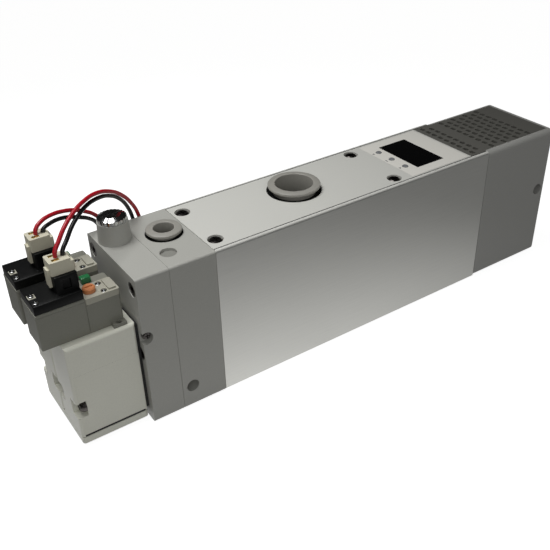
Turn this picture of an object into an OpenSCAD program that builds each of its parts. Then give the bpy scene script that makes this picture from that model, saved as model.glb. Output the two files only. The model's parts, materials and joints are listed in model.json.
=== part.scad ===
// Two-nozzle multistage vacuum ejector with supply and release valves.
// +X runs from the valves to the silencer, +Z is up, and the origin is the middle of the base face.

/* [Housing] */
// Width over the sides
body_w = 42.5; // [42:0.5:52]
// Height from the base to the top face
body_h = 68; // [67:0.5:80]
// Length of the adapter block that carries the valves
adapter_l = 13.5; // [13.5:0.5:18]
// Length of the supply block
supply_l = 20; // [19:0.5:30]
// Length of the extruded ejector body
body_l = 145.5; // [144:0.5:180]
// Length of the silencer cover
end_l = 44; // [42:0.5:60]
// Radius along the long outer edges
edge_r = 1; // [0.5:0.1:1.4]
// Side wall of the extruded body
wall = 4; // [3.6:0.1:4.6]
// Floor of the extruded body
floor_t = 8; // [7.6:0.2:9]
// Diameter of the two cross holes that mount the ejector
mount_d = 5.5; // [4.5:0.1:6]

/* [Top plate] */
// Thickness of the top plate
plate_t = 2.5; // [2.2:0.1:3]
// Thickness of the rim of the body beside the plate
rim_t = 1.5; // [1.2:0.1:2]
// Gap between the plate and the rim
plate_gap = 0.5; // [0.3:0.05:0.6]
// Thickness of the lips that carry the plate
lip_t = 5; // [4:0.5:6]
// Thickness of the label film
film_t = 0.3; // [0.2:0.05:0.4]
// Length of the display window
window_l = 15.8; // [14:0.1:17]
// Width of the display window
window_w = 26.5; // [24:0.5:28]
// Diameter of the setting keys
key_d = 2.8; // [2.4:0.1:3.2]
// Travel of a setting key
key_travel = 0.5; // [0.3:0.1:0.5]

/* [Vacuum port] */
// Outer diameter of the vacuum tube
vacuum_tube_d = 16; // [14:0.5:16]
// Outer diameter of the fitting sleeve
vacuum_sleeve_d = 23.4; // [23:0.2:24.4]
// Diameter of the flange of the release button
vacuum_flange_d = 22.4; // [21.6:0.2:23]
// Height of the release button over the plate
vacuum_proud = 3.3; // [3.2:0.1:4]
// Travel of the release button
vacuum_travel = 1.5; // [0.8:0.1:1.5]

/* [Supply port] */
// Outer diameter of the supply tube
supply_tube_d = 8; // [6:0.5:8]
// Outer diameter of the fitting sleeve
supply_sleeve_d = 15; // [14.6:0.1:15.6]
// Diameter of the flange of the release button
supply_flange_d = 14.2; // [13.4:0.1:14.6]
// Height of the release button over the block
supply_proud = 2.4; // [2.3:0.1:3]
// Travel of the release button
supply_travel = 1.2; // [0.8:0.1:1.2]

/* [Needle] */
// Diameter of the needle boss at its foot
boss_d = 13; // [12.6:0.1:13.2]
// Diameter of the needle boss at its top
boss_top_d = 12; // [11.8:0.1:12.4]
// Height of the needle boss
boss_h = 8.4; // [7:0.2:10]
// Diameter of the needle stem
needle_d = 5.9; // [5.5:0.1:6.1]
// Lift of the needle from shut to fully open
needle_lift = 2; // [1:0.5:3]
// Diameter of the knurled knob
knob_d = 11.4; // [10.6:0.2:11.6]

/* [Silencer] */
// Length of the grille over the extruded body
tongue_l = 9.5; // [9:0.5:12]
// Pitch of the grille slots
slot_pitch = 4.1; // [3.8:0.1:5]
// Length of a grille slot across the cover
slot_l = 2.9; // [2.4:0.1:3.1]
// Width of a grille slot
slot_w = 2; // [1.6:0.1:2.4]
// Wall of the silencer cover
cover_wall = 3; // [2.6:0.1:3.4]
// Radius along the long outer edges of the silencer cover
cover_edge_r = 2.5; // [2:0.1:2.8]

/* [Ejector stages] */
// Throat diameter of the nozzle
nozzle_d = 1.8; // [1:0.1:2.4]
// Throat diameter of the first diffuser
diffuser_d = 3.2; // [2.6:0.1:4]
// Growth of the throat from one diffuser to the next
stage_step = 1.4; // [1:0.1:1.8]
// Outer diameter of the diffusers
diffuser_od = 12; // [11:0.5:12.5]

/* [Valves] */
// Length of a main valve body
valve_l = 27.7; // [26.7:0.1:32]
// Width of a main valve body
valve_w = 19; // [18.6:0.1:19.2]
// Distance between the two valves
valve_pitch = 19.5; // [19.4:0.1:20]
// Height of the top of the main valve bodies
valve_top = 48; // [47:0.5:50]
// Underside of the valve base plate over the base face
valve_under = 2; // [1:0.5:2.5]
// Diameter of the valve spools
spool_d = 8; // [7:0.2:8.4]
// Travel of the valve spools
spool_travel = 2.5; // [1.5:0.5:2.5]
// Length of a pilot valve
pilot_l = 31.5; // [30.5:0.5:36]
// Width of a pilot valve
pilot_w = 14.5; // [14:0.1:15]
// Height of a pilot valve without its coil
pilot_h = 14; // [13:0.5:16]
// Diameter of a manual override button
override_d = 4.8; // [4.2:0.1:5]
// Travel of a manual override button
override_travel = 0.8; // [0.5:0.1:0.8]

/* [Wires] */
// Outer diameter of a lead wire
wire_d = 1.6; // [1.4:0.1:1.7]

/* [Hidden] */
$fn = 64;

// Small excess that lets a cut pass through a face
cut = 1;
// Clearance of pieces that are fitted together and stay still
fit = 0.05;
// Radial clearance of pieces that slide or turn in a bore
run = 0.05;

// Faces along the length
x_left = -(adapter_l + supply_l + body_l + end_l) / 2;
x_supply = x_left + adapter_l;
x_body = x_supply + supply_l;
x_end = x_body + body_l;
x_right = x_end + end_l;
x_tongue = x_end - tongue_l;
x_grille = x_right - rim_t;

// Screws
screw_d = 3;
thread_d = 2.9;
head_d = 5.5;
head_h = 3;
head_room = 0.3;
tie_y = body_w / 2 - 5.5;
tie_z = body_h - 14;
tie_low_y = body_w / 2 - 4.75;
tie_low_z = 4.2;
tie_boss_r = 3.2;
tie_depth = 12;
adapter_screw_y = body_w / 2 - 3.95;
adapter_screw_z = [33, body_h - 6];
tie_places = [[-tie_y, tie_z], [tie_y, tie_z], [-tie_low_y, tie_low_z], [tie_low_y, tie_low_z]];
adapter_places = [for (s = [-1, 1], z = adapter_screw_z) [s * adapter_screw_y, z]];

// Extruded body
channel_w = body_w - 2 * wall;
web_t = 3;
lower_h = 32;
web_z = floor_t + lower_h;
lip_z = body_h - plate_t - lip_t;
lip_gap = 20;
plate_w = body_w - 2 * rim_t - 2 * plate_gap;
plate_z = body_h - plate_t;
field_w = body_w - 2 * cover_edge_r - 0.4;
gasket_t = 1;

// Shadow lines where the blocks meet
seam_w = 0.3;
seam_d = 0.2;

// Mounting holes
mount_left = [x_supply + 4.9, 9.9];
mount_right = [x_right - 4.2, 36.9];

// Top plate screws, display and keys
plate_head_d = 5.6;
plate_head_h = 1.5;
plate_recess_d = 6.5;
plate_screw_l = 7.5;
plate_screws_at = [[x_body + 4.5, 13.2], [x_tongue - 42.6, 15]];
window_x = x_tongue - 19.35;
window_t = 1.2;
film_left = 35;
film_edge = 0.8;
key_x = window_x - window_l / 2 - 3.6;
key_pitch = 9;
key_flange_d = key_d + 1.6;
key_flange_h = 0.8;
key_proud = 0.35;
key_flange_top = plate_z + key_travel + key_flange_h + 0.1;
module_l = 30;
module_w = 29;
module_top = plate_z - 0.1;
module_h = 7.5;

// Tube fittings
vacuum_x = x_body + 52.6;
vacuum_y = 2.5;
supply_x = x_supply + 10.9;
supply_y = 3;
port_rim = 0.6;
vacuum_foot = web_z + web_t;
vacuum_seat = vacuum_foot + 4;
supply_foot = body_h - 17.5;
supply_seat = supply_foot + 1.6;
tube_play = 0.1;
button_wall = 1.2;
filter_d = 13.4;

// Blanked port beside the supply port
plug_x = x_supply + 5.3;
plug_y = -body_w / 2 + 10.1;
plug_d = 6.6;
plug_depth = 5;
plug_sunk = 1.1;

// Air passages
gallery_z = 30;
nozzle_z = floor_t + 12;
needle_port_z = 44.6;
gallery_x = x_left + 9.8;
release_z = floor_t + 26;
gas_d = 6;

// Needle
needle_x = x_left + 6.9;
needle_y = body_w / 2 - 11.2;
needle_seat_z = 47;
needle_seat_d = 2.2;
needle_chamber_top = 58;
oring_z = 63;
oring_r = 0.6;
needle_top = body_h + boss_h;
knob_z = needle_top + 0.2;
spigot_d = 3.6;
spigot_h = 1.6;
knob_side_h = 1.4;
knob_top_h = 1;

// Ejector stages, measured from the front of the extruded body
bulkheads = [[0.1, 10], [25, 8], [53, 8], [89, 10]];
deck_t = 3;
insert_h = 23;
insert_floor = 4;
insert_w = channel_w - 0.2;
valve_holes = [40, 68];
// Diffusers: [front face, length, depth held in the bulkhead]
stages = [[19, 24, 6.2], [46, 32, 7.2], [81, 62, 9.2]];

// Valves
valve_gap = 1;
valve_right = x_left - valve_gap;
valve_left = valve_right - valve_l;
valve_base_t = 3.3;
valve_floor = valve_under + valve_base_t;
valve_margin = 1;
pair_y = body_w / 2 - valve_margin - valve_w / 2 - valve_pitch / 2;
supply_valve_y = pair_y - valve_pitch / 2;
release_valve_y = pair_y + valve_pitch / 2;
spool_x = valve_right - valve_l / 2;
piston_d = 12;
piston_h = 3.5;
piston_room = 8;
spool_foot = valve_floor + 6.6;
piston_top = valve_top - 3.4;
port_in = [-3, gallery_z];
port_out = [3, 25];
port_d = 3;
valve_screw_y = valve_w / 2 - 2.7;
valve_screw_z = 18.3;
valve_screws_at = [for (y = [supply_valve_y, release_valve_y], s = [-1, 1]) y + s * valve_screw_y];
valve_head_d = 5;
base_screws_x = [valve_left + 4.2, valve_right - 4.2];
base_screw_d = 2.3;
base_head_h = 1.5;
pocket_h = 7.2;
pocket_l = 4.2;
spring_r = 2.7;
spring_wire = 0.7;

clamp_x = x_left + 2.4;
clamp_z = 41.5;
clamp_d = 2;
clamp_l = 3;
clamp_depth = 3.2;

// Pilots
pilot_right = x_left - 3.4;
pilot_left = pilot_right - pilot_l;
pilot_shift = 1.5;
supply_pilot_y = supply_valve_y + pilot_shift;
release_pilot_y = release_valve_y + pilot_shift;
pilot_top = valve_top + pilot_h;
coil_l = 16.6;
coil_h = 1.9;
cap_l = 13.2;
cap_w = 9.2;
cap_t = 2.6;
cap_proud = 0.9;
cap_screws = [[-5.2, 1.9], [-5.2, cap_w - 1.9]];
override_x = pilot_right - 9.7;
override_off = -2.6;
socket_l = 8.4;
socket_w = 9.6;
socket_h = 9.9;
plug_l = 8.8;
plug_w = 6.6;
plug_h = 5.2;
plug_z = pilot_top + coil_h + socket_h;
plug_mid = pilot_right - 17.5;

// Routes of the four lead wires: out of the plug, over the far edge and along the floor behind
wire_r = wire_d / 2;
supply_red_path = [
  [-133.3, -7.2, 79], [-133, -7, 81], [-130.6, -5.5, 83.6], [-127, -3, 86.8], [-122, 0.5, 89.2],
  [-116, 4.5, 90.4], [-109, 9.5, 89.4], [-102, 14, 86], [-96.5, 18, 81.2], [-92, 21, 75.4],
  [-88.5, 23.3, 68], [-87, 24.2, 58], [-86.5, 24.5, 30], [-86.2, 24.5, 10], [-84.5, 24.5, 4],
  [-79.5, 24.5, 0.8], [-40, 24.5, 0.8], [0, 24.5, 0.8], [40, 24.5, 0.8], [82.5, 24.5, 0.8]
];
supply_black_path = [
  [-130.7, -7.2, 79], [-130.3, -7, 80.5], [-127.6, -5, 82.8], [-124, -2.2, 85.8], [-120, 0.8, 87.6],
  [-115.5, 4.6, 88.2], [-109, 9.6, 87.2], [-102.5, 14.8, 84], [-97, 19, 79.2], [-93, 22, 73],
  [-90.6, 24, 65.5], [-89.6, 25, 56], [-89.2, 26, 30], [-88.8, 26.5, 10], [-87, 26.5, 4],
  [-82, 26.5, 0.8], [-40, 26.5, 0.8], [0, 26.5, 0.8], [40, 26.5, 0.8], [85.5, 26.5, 0.8]
];
release_red_path = [
  [-133.3, 12.2, 79], [-132.9, 12.4, 80.8], [-130.2, 13.6, 82.6], [-125.5, 15.5, 83],
  [-120.5, 17.5, 82], [-115.5, 19.5, 80], [-111, 21.4, 77.2], [-106.5, 23.2, 73.4],
  [-103, 24.6, 68], [-101.4, 25.4, 58], [-100.8, 27, 30], [-100.2, 28.5, 10], [-98.4, 28.5, 4],
  [-93.5, 28.5, 0.8], [-60, 28.5, 0.8], [-20, 28.5, 0.8], [20, 28.5, 0.8], [60, 28.5, 0.8],
  [96, 28.5, 0.8]
];
release_black_path = [
  [-130.7, 12.2, 79], [-130.2, 12.4, 80], [-127.4, 13.6, 80.7], [-123, 15.4, 80.5],
  [-118.5, 17.2, 79], [-114, 19, 76.6], [-110, 20.8, 74], [-106.4, 22.6, 70], [-104.6, 24, 64],
  [-104, 25, 56], [-103.6, 27.5, 30], [-103, 30.5, 10], [-101.2, 30.5, 4], [-96.5, 30.5, 0.8],
  [-60, 30.5, 0.8], [-20, 30.5, 0.8], [20, 30.5, 0.8], [60, 30.5, 0.8], [100.5, 30.5, 0.8]
];

// ---------------------------------------------------------------- shared shapes

// A child outline in the Y-Z plane, extruded along +X from x0
module along_x(x0, l) {
  translate([x0, 0, 0]) rotate([90, 0, 90]) linear_extrude(l) children();
}

// A child outline in the X-Z plane, extruded along +Y from y0
module along_y(y0, l) {
  translate([0, y0 + l, 0]) rotate([90, 0, 0]) linear_extrude(l) children();
}

// A rectangle with round corners, centred in x and standing on y = 0
module round_rect(w, h, r) {
  translate([-w / 2 + r, 0]) square([w - 2 * r, h]);
  translate([-w / 2, r]) square([w, h - 2 * r]);
  for (x = [-w / 2 + r, w / 2 - r], y = [r, h - r]) translate([x, y]) circle(r);
}

// A box with round upright edges between two corners
module post_box(low, high, r) {
  translate([(low[0] + high[0]) / 2, low[1], low[2]])
    linear_extrude(high[2] - low[2]) round_rect(high[0] - low[0], high[1] - low[1], r);
}

// A plain box between two corners
module block(low, high) {
  translate(low) cube(high - low);
}

// A bore along X, Y or Z between two values
module bore_x(x0, x1, y, z, d) {
  translate([x0, y, z]) rotate([0, 90, 0]) cylinder(h = x1 - x0, d = d);
}
module bore_y(y0, y1, x, z, d) {
  translate([x, y1, z]) rotate([90, 0, 0]) cylinder(h = y1 - y0, d = d);
}
module bore_z(z0, z1, x, y, d) {
  translate([x, y, z0]) cylinder(h = z1 - z0, d = d);
}

// A housing block with the outer section of the body, and fine shadow lines at its seams
module housing(x0, l, r = edge_r, seams = [0, 0]) {
  along_x(x0 + seams[0] * seam_w, l - (seams[0] + seams[1]) * seam_w) round_rect(body_w, body_h, r);
  translate([0, 0, seam_d])
    along_x(x0, l) round_rect(body_w - 2 * seam_d, body_h - 2 * seam_d, r - seam_d);
}

// A pan-head screw with a cross recess, its seat at z = 0 and its head upwards
module pan_screw(d, l, hd, hh) {
  difference() {
    union() {
      translate([0, 0, -l]) cylinder(h = l, d = d);
      cylinder(h = hh * 0.55, d = hd);
      translate([0, 0, hh * 0.55]) cylinder(h = hh * 0.45, d1 = hd, d2 = hd * 0.74);
    }
    for (a = [0, 90]) rotate(a)
      translate([-hd * 0.3, -hd * 0.06, hh * 0.4]) cube([hd * 0.6, hd * 0.12, hh]);
  }
}

// A socket-head screw with its seat at z = 0
module socket_screw(d, l, hd, hh) {
  difference() {
    union() {
      translate([0, 0, -l]) cylinder(h = l, d = d);
      cylinder(h = hh, d = hd);
    }
    translate([0, 0, hh * 0.4]) cylinder(h = hh, d = hd * 0.52, $fn = 6);
  }
}

// ---------------------------------------------------------------- housing

module adapter_block() {
  color([0.67, 0.67, 0.65]) difference() {
    union() {
      housing(x_left, adapter_l);
      translate([needle_x, needle_y, body_h]) cylinder(h = boss_h, d1 = boss_d, d2 = boss_top_d);
    }
    // Needle bore, chamber and seat
    bore_z(needle_chamber_top, body_h + boss_h + cut, needle_x, needle_y, needle_d + 2 * run);
    bore_z(needle_seat_z, needle_chamber_top + cut, needle_x, needle_y, needle_d - 0.7);
    bore_z(needle_port_z, needle_seat_z + cut, needle_x, needle_y, needle_seat_d);
    bore_x(needle_x, x_supply + cut, needle_y, needle_port_z, port_d);
    // Supply gallery to the inlets of both valves
    bore_x(gallery_x, x_supply + cut, supply_y, gallery_z, gas_d - 1);
    bore_y(supply_valve_y + port_in[0], release_valve_y + port_in[0], gallery_x, gallery_z, 4);
    for (y = [supply_valve_y, release_valve_y])
      bore_x(x_left - cut, gallery_x, y + port_in[0], port_in[1], port_d);
    // Outlet of the supply valve to the nozzle
    bore_x(x_left - cut, gallery_x, supply_valve_y + port_out[0], port_out[1], port_d);
    bore_z(nozzle_z, port_out[1], gallery_x, supply_valve_y + port_out[0], port_d);
    bore_y(supply_valve_y + port_out[0], 0, gallery_x, nozzle_z, port_d);
    bore_x(gallery_x, x_supply + cut, 0, nozzle_z, gas_d);
    // Outlet of the release valve to the needle chamber
    bore_x(x_left - cut, needle_x, release_valve_y + port_out[0], port_out[1], port_d);
    bore_z(port_out[1], needle_seat_z + 5, needle_x, release_valve_y + port_out[0], port_d);
    // Screws that hold the block, and threads of the valve screws
    for (p = adapter_places) {
      bore_x(x_left - cut, x_supply + cut, p[0], p[1], screw_d + 0.3);
      bore_x(x_left - cut, x_left + head_h + head_room, p[0], p[1], head_d + 0.6);
    }
    for (y = valve_screws_at) bore_x(x_left - cut, x_left + 6, y, valve_screw_z, thread_d + 2 * fit);
    // Side pocket with the clamp screw of the valve gasket
    bore_y(-body_w / 2 - cut, -body_w / 2 + clamp_depth, x_left + 1.4, clamp_z, 5.6);
    bore_y(-body_w / 2, -body_w / 2 + clamp_depth + clamp_l + 0.3, clamp_x, clamp_z, clamp_d + 2 * fit);
  }
}

module supply_block() {
  color([0.66, 0.66, 0.64]) difference() {
    housing(x_supply, supply_l, edge_r, [1, 1]);
    // Supply port, its passage and the passage to the nozzle
    bore_z(supply_foot, body_h + cut, supply_x, supply_y, supply_sleeve_d + 2 * fit);
    bore_z(gallery_z, supply_foot + cut, supply_x, supply_y, gas_d);
    bore_x(x_supply - cut, supply_x, supply_y, gallery_z, gas_d - 1);
    bore_x(x_supply - cut, x_body + cut, 0, nozzle_z, gas_d);
    // Release passage, stepped down to the vacuum chamber
    bore_x(x_supply - cut, x_supply + 6, needle_y, needle_port_z, port_d);
    bore_z(release_z, needle_port_z, x_supply + 5, needle_y, port_d);
    bore_x(x_supply + 5, x_body + cut, needle_y, release_z, port_d);
    // Blanked port
    bore_z(body_h - plug_depth, body_h + cut, plug_x, plug_y, plug_d);
    // Mounting hole
    bore_y(-body_w / 2 - cut, body_w / 2 + cut, mount_left[0], mount_left[1], mount_d);
    // Screws into the body and threads for the adapter screws
    for (p = tie_places) {
      bore_x(x_supply - cut, x_body + cut, p[0], p[1], screw_d + 0.3);
      bore_x(x_supply - cut, x_supply + head_h + head_room, p[0], p[1], head_d + 0.6);
    }
    for (p = adapter_places) bore_x(x_supply - cut, x_supply + 8, p[0], p[1], thread_d + 2 * fit);
    // Seats of the gaskets
    gasket_plate(x_supply, gasket_t, 0.1);
    gasket_plate(x_body - gasket_t, gasket_t + cut, 0.1);
  }
}

// Outline of the extruded body
module body_section() {
  difference() {
    union() {
      difference() {
        round_rect(body_w, body_h, edge_r);
        translate([-channel_w / 2, floor_t]) square([channel_w, lower_h]);
        translate([-channel_w / 2, web_z + web_t]) square([channel_w, lip_z - web_z - web_t]);
        translate([-lip_gap / 2, lip_z - cut]) square([lip_gap, lip_t + plate_t + 2 * cut]);
      }
      for (s = [-1, 1]) {
        translate([s * tie_y, tie_z]) circle(tie_boss_r);
        translate([s > 0 ? tie_y : -channel_w / 2 - cut, tie_z - tie_boss_r])
          square([channel_w / 2 - tie_y + cut, 2 * tie_boss_r]);
      }
    }
    translate([-body_w / 2 + rim_t, plate_z]) square([body_w - 2 * rim_t, plate_t + cut]);
  }
}

module ejector_body() {
  color([0.72, 0.72, 0.71]) difference() {
    along_x(x_body, body_l) body_section();
    for (p = tie_places) {
      bore_x(x_body - cut, x_body + tie_depth, p[0], p[1], thread_d + 2 * fit);
      bore_x(x_end - tie_depth, x_end + cut, p[0], p[1], thread_d + 2 * fit);
    }
    // Port bore through the lips, and the filter hole in the web
    bore_z(web_z + web_t, body_h + cut, vacuum_x, vacuum_y, vacuum_sleeve_d + 0.6);
    bore_z(web_z - cut, web_z + web_t + cut, vacuum_x, vacuum_y, filter_d + 0.4);
    // Room for the display module between the lips, and its pressure tap
    block([window_x - module_l / 2 - 1, -module_w / 2 - 1, lip_z - cut],
          [window_x + module_l / 2 + 1, module_w / 2 + 1, body_h + cut]);
    bore_z(web_z - cut, web_z + web_t + cut, window_x, 0, 2);
    // Room below the grille
    block([x_tongue + 1.5, -channel_w / 2, lip_z - cut], [x_end + cut, channel_w / 2, plate_z]);
    // Threads of the plate screws
    for (p = plate_screws_at, s = [-1, 1])
      bore_z(lip_z - cut, plate_z + cut, p[0], s * p[1], thread_d + 2 * fit);
  }
}

module top_plate() {
  x0 = x_body + 0.1;
  x1 = x_tongue - 0.1;
  color([0.8, 0.8, 0.78]) difference() {
    block([x0, -plate_w / 2, plate_z], [x1, plate_w / 2, body_h]);
    bore_z(plate_z - cut, body_h + cut, vacuum_x, vacuum_y, vacuum_sleeve_d + 0.3);
    for (p = plate_screws_at, s = [-1, 1]) {
      bore_z(plate_z - cut, body_h + cut, p[0], s * p[1], screw_d + 0.3);
      bore_z(body_h - plate_head_h - 0.1, body_h + cut, p[0], s * p[1], plate_recess_d);
    }
    // Recess of the film, the window and the holes of the keys
    block([x_tongue - film_left, -plate_w / 2 + film_edge, body_h - film_t],
          [x1 - film_edge, plate_w / 2 - film_edge, body_h + cut]);
    block([window_x - window_l / 2, -window_w / 2, plate_z - cut],
          [window_x + window_l / 2, window_w / 2, body_h + cut]);
    for (i = [-1, 0, 1]) {
      bore_z(plate_z - cut, body_h, key_x, i * key_pitch, key_d + 2 * run);
      bore_z(plate_z - cut, key_flange_top + 0.1, key_x, i * key_pitch, key_flange_d + 0.3);
    }
  }
}

// Moulded cover with a cavity that is open to the body, and a rebate for the grille
module silencer_cover() {
  mount_sleeve_r = mount_d / 2 + 1.9;
  color([0.36, 0.36, 0.35]) difference() {
    intersection() {
      housing(x_end, end_l, cover_edge_r, [1, 0]);
      union() {
        difference() {
          housing(x_end, end_l, cover_edge_r, [1, 0]);
          block([x_end - cut, -body_w / 2 + cover_wall, cover_wall],
                [x_right - cover_wall, body_w / 2 - cover_wall, plate_z + cut]);
        }
        for (p = tie_places) bore_x(x_end, x_right, p[0], p[1], 2 * tie_boss_r + 0.6);
        bore_y(-body_w / 2, body_w / 2, mount_right[0], mount_right[1], 2 * mount_sleeve_r);
      }
    }
    block([x_end - cut, -field_w / 2, plate_z], [x_grille, field_w / 2, body_h + cut]);
    bore_y(-body_w / 2 - cut, body_w / 2 + cut, mount_right[0], mount_right[1], mount_d);
    for (p = tie_places) {
      bore_x(x_end - cut, x_right + cut, p[0], p[1], screw_d + 0.3);
      bore_x(x_right - head_h - head_room, x_right + cut, p[0], p[1], head_d + 0.6);
    }
  }
}

// Slots of the grille: one column of staggered slots at each x
module slot_columns(x0, count, shift) {
  rows = floor((plate_w - 5) / slot_pitch / 2);
  for (c = [0 : count - 1]) {
    stagger = (c + shift) % 2 == 0 ? 0 : slot_pitch / 2;
    for (r = [-rows : rows - (stagger > 0 ? 1 : 0)])
      translate([x0 + c * slot_pitch, r * slot_pitch + stagger, plate_z - cut])
        linear_extrude(plate_t + 2 * cut)
          translate([0, -slot_l / 2]) round_rect(slot_w, slot_l, slot_w / 2 - 0.3);
  }
}

module silencer_grille() {
  tongue_columns = floor((tongue_l - 1.5) / slot_pitch) + 1;
  field_l = end_l - cover_wall - 9;
  field_columns = floor(field_l / slot_pitch);
  color([0.35, 0.35, 0.34]) difference() {
    union() {
      block([x_tongue, -plate_w / 2, plate_z], [x_end, plate_w / 2, body_h]);
      block([x_end - cut, -field_w / 2, plate_z], [x_grille, field_w / 2, body_h]);
    }
    slot_columns(x_tongue + 3.5, tongue_columns, 0);
    slot_columns(x_end + 6.5, field_columns, 0);
  }
}

// Sound absorbing block with a blow-in bore at the last diffuser
module silencer_core() {
  half = tie_y - tie_boss_r - 0.7;
  color([0.42, 0.42, 0.4]) difference() {
    block([x_end + 4, -half, cover_wall], [mount_right[0] - mount_d / 2 - 2.4, half, plate_z - 0.3]);
    bore_x(x_end, mount_right[0] - 16, 0, nozzle_z, diffuser_od + 2);
  }
}

// A gasket plate round the passages, grown by gap on its outline
module gasket_plate(x0, t, gap) {
  along_x(x0, t) translate([0, 11 - gap]) round_rect(24 + 2 * gap, 37.5 + 2 * gap, 2);
}

module gasket_holes(x0) {
  bore_x(x0 - cut, x0 + gasket_t + cut, supply_y, gallery_z, gas_d - 1);
  bore_x(x0 - cut, x0 + gasket_t + cut, 0, nozzle_z, gas_d);
  bore_x(x0 - cut, x0 + gasket_t + cut, needle_y, needle_port_z, port_d);
}

module gaskets() {
  color([0.1, 0.1, 0.1]) {
    difference() {
      gasket_plate(x_supply, gasket_t, 0);
      gasket_holes(x_supply);
    }
    difference() {
      gasket_plate(x_body - gasket_t, gasket_t, 0);
      bore_x(x_body - 3, x_body + cut, 0, nozzle_z, gas_d);
      bore_x(x_body - 3, x_body + cut, needle_y, release_z, port_d);
    }
  }
}

// ---------------------------------------------------------------- fasteners

module plate_screws() {
  color([0.25, 0.25, 0.26]) for (p = plate_screws_at, s = [-1, 1])
    translate([p[0], s * p[1], body_h - plate_head_h - 0.1])
      pan_screw(thread_d, plate_screw_l - 1, plate_head_d, plate_head_h);
}

module block_screws() {
  color([0.5, 0.5, 0.52]) for (p = tie_places)
    translate([x_supply + head_h + head_room, p[0], p[1]]) rotate([0, -90, 0])
      socket_screw(thread_d, supply_l - head_h + tie_depth - 2, head_d, head_h);
}

module adapter_screws() {
  color([0.5, 0.5, 0.52]) for (p = adapter_places)
    translate([x_left + head_h + head_room, p[0], p[1]]) rotate([0, -90, 0])
      socket_screw(thread_d, adapter_l - head_h + 7, head_d, head_h);
}

module end_screws() {
  color([0.5, 0.5, 0.52]) for (p = tie_places)
    translate([x_right - head_h - head_room, p[0], p[1]]) rotate([0, 90, 0])
      socket_screw(thread_d, end_l - head_h + tie_depth - 2, head_d, head_h);
}

// ---------------------------------------------------------------- display

module display_film() {
  x0 = x_tongue - film_left + fit;
  x1 = x_tongue - 0.1 - film_edge - fit;
  w = plate_w / 2 - film_edge - fit;
  color([0.86, 0.86, 0.83]) difference() {
    block([x0, -w, body_h - film_t], [x1, w, body_h]);
    block([window_x - window_l / 2, -window_w / 2, body_h - cut],
          [window_x + window_l / 2, window_w / 2, body_h + cut]);
    for (i = [-1, 0, 1]) bore_z(body_h - cut, body_h + cut, key_x, i * key_pitch, key_d + 2 * run);
  }
}

module display_window() {
  color([0.03, 0.03, 0.03])
    block([window_x - window_l / 2 + fit, -window_w / 2 + fit, body_h - window_t],
          [window_x + window_l / 2 - fit, window_w / 2 - fit, body_h]);
}

// Pressure sensor and display in one housing, with its tap on the web
module display_module() {
  face_h = body_h - window_t - 0.1;
  color([0.12, 0.12, 0.13]) difference() {
    union() {
      post_box([window_x - module_l / 2, -module_w / 2, module_top - module_h],
               [window_x + module_l / 2, module_w / 2, module_top], 1);
      block([window_x - window_l / 2 + 1, -window_w / 2 + 1, module_top - cut],
            [window_x + window_l / 2 - 1, window_w / 2 - 1, face_h]);
      bore_z(web_z + web_t, module_top - module_h + cut, window_x, 0, 7);
    }
    bore_z(web_z, module_top - module_h + 4, window_x, 0, 2);
  }
}

// A setting key, held under the plate by its flange
module setting_key(i) {
  color([0.55, 0.56, 0.57]) translate([key_x, i * key_pitch, 0]) {
    translate([0, 0, key_flange_top - key_flange_h]) cylinder(h = key_flange_h, d = key_flange_d);
    translate([0, 0, key_flange_top - cut / 2])
      cylinder(h = body_h + key_proud - 0.25 - key_flange_top + cut / 2, d = key_d);
    translate([0, 0, body_h + key_proud - 0.25]) cylinder(h = 0.25, d1 = key_d, d2 = key_d - 0.5);
  }
}

// ---------------------------------------------------------------- tube fittings

// Half section of a sleeve: tube stop, tube guide, seal seat, chuck room and button guide
module sleeve_section(tube, sleeve, foot, seat) {
  r = sleeve / 2;
  guide = tube / 2 + tube_play + button_wall + run;
  stop = tube / 2 - 0.9;
  top = body_h - port_rim;
  polygon([
    [stop, foot], [r, foot], [r, top - 0.4], [r - 0.4, top], [guide, top],
    [guide, seat + 11.3], [r - 1.5, seat + 9.8], [r - 1.5, seat + 6],
    [tube / 2 + 1.8, seat + 6], [tube / 2 + 1.8, seat + 3],
    [tube / 2 + tube_play, seat + 3], [tube / 2 + tube_play, seat], [stop, seat]
  ]);
}

// Half section of a release button, its stem in the sleeve and its flange above
module button_section(tube, flange, proud, travel, seat) {
  bore = tube / 2 + tube_play;
  stem = bore + button_wall;
  top = body_h + proud;
  under = body_h - port_rim + travel + 0.3;
  r = flange / 2;
  foot = seat + 6 + 2.6 + travel;
  polygon([
    [bore + 0.5, foot], [stem - 0.3, foot], [stem, foot + 0.3], [stem, under], [r - 0.5, under],
    [r, under + 0.5], [r, top - 1.1], [r - 0.5, top - 0.5], [bore + 0.9, top], [bore + 0.25, top],
    [bore, top - 0.25],
    [bore, foot + 0.5]
  ]);
}

// A split ring whose inner edge bites on the tube
module chuck(tube, sleeve, seat) {
  r = sleeve / 2 - 1.5 - run;
  bite = tube / 2 + tube_play + 0.02;
  difference() {
    translate([0, 0, seat + 6 + fit]) rotate_extrude() polygon([
      [bite, 0], [bite + 0.9, 0], [r - 0.6, 0], [r, 0.6], [r, 2.2], [r - 0.5, 2.4],
      [bite + 1.2, 2.4], [bite + 0.4, 1]
    ]);
    for (a = [0 : 30 : 150]) rotate(a)
      translate([-sleeve, -0.25, seat + 6 + 0.9]) cube([2 * sleeve, 0.5, 4]);
  }
}

// Lip seal below the chuck
module lip_seal(tube, seat) {
  outer = tube / 2 + 1.8 - fit;
  inner = tube / 2 + tube_play + 0.02;
  translate([0, 0, seat + 3]) rotate_extrude() polygon([
    [inner + 0.5, fit], [outer, fit], [outer, 2.8], [outer - 0.5, 2.8], [outer - 0.7, 1.5],
    [inner + 0.3, 2.4], [inner, 1.9]
  ]);
}

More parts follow.
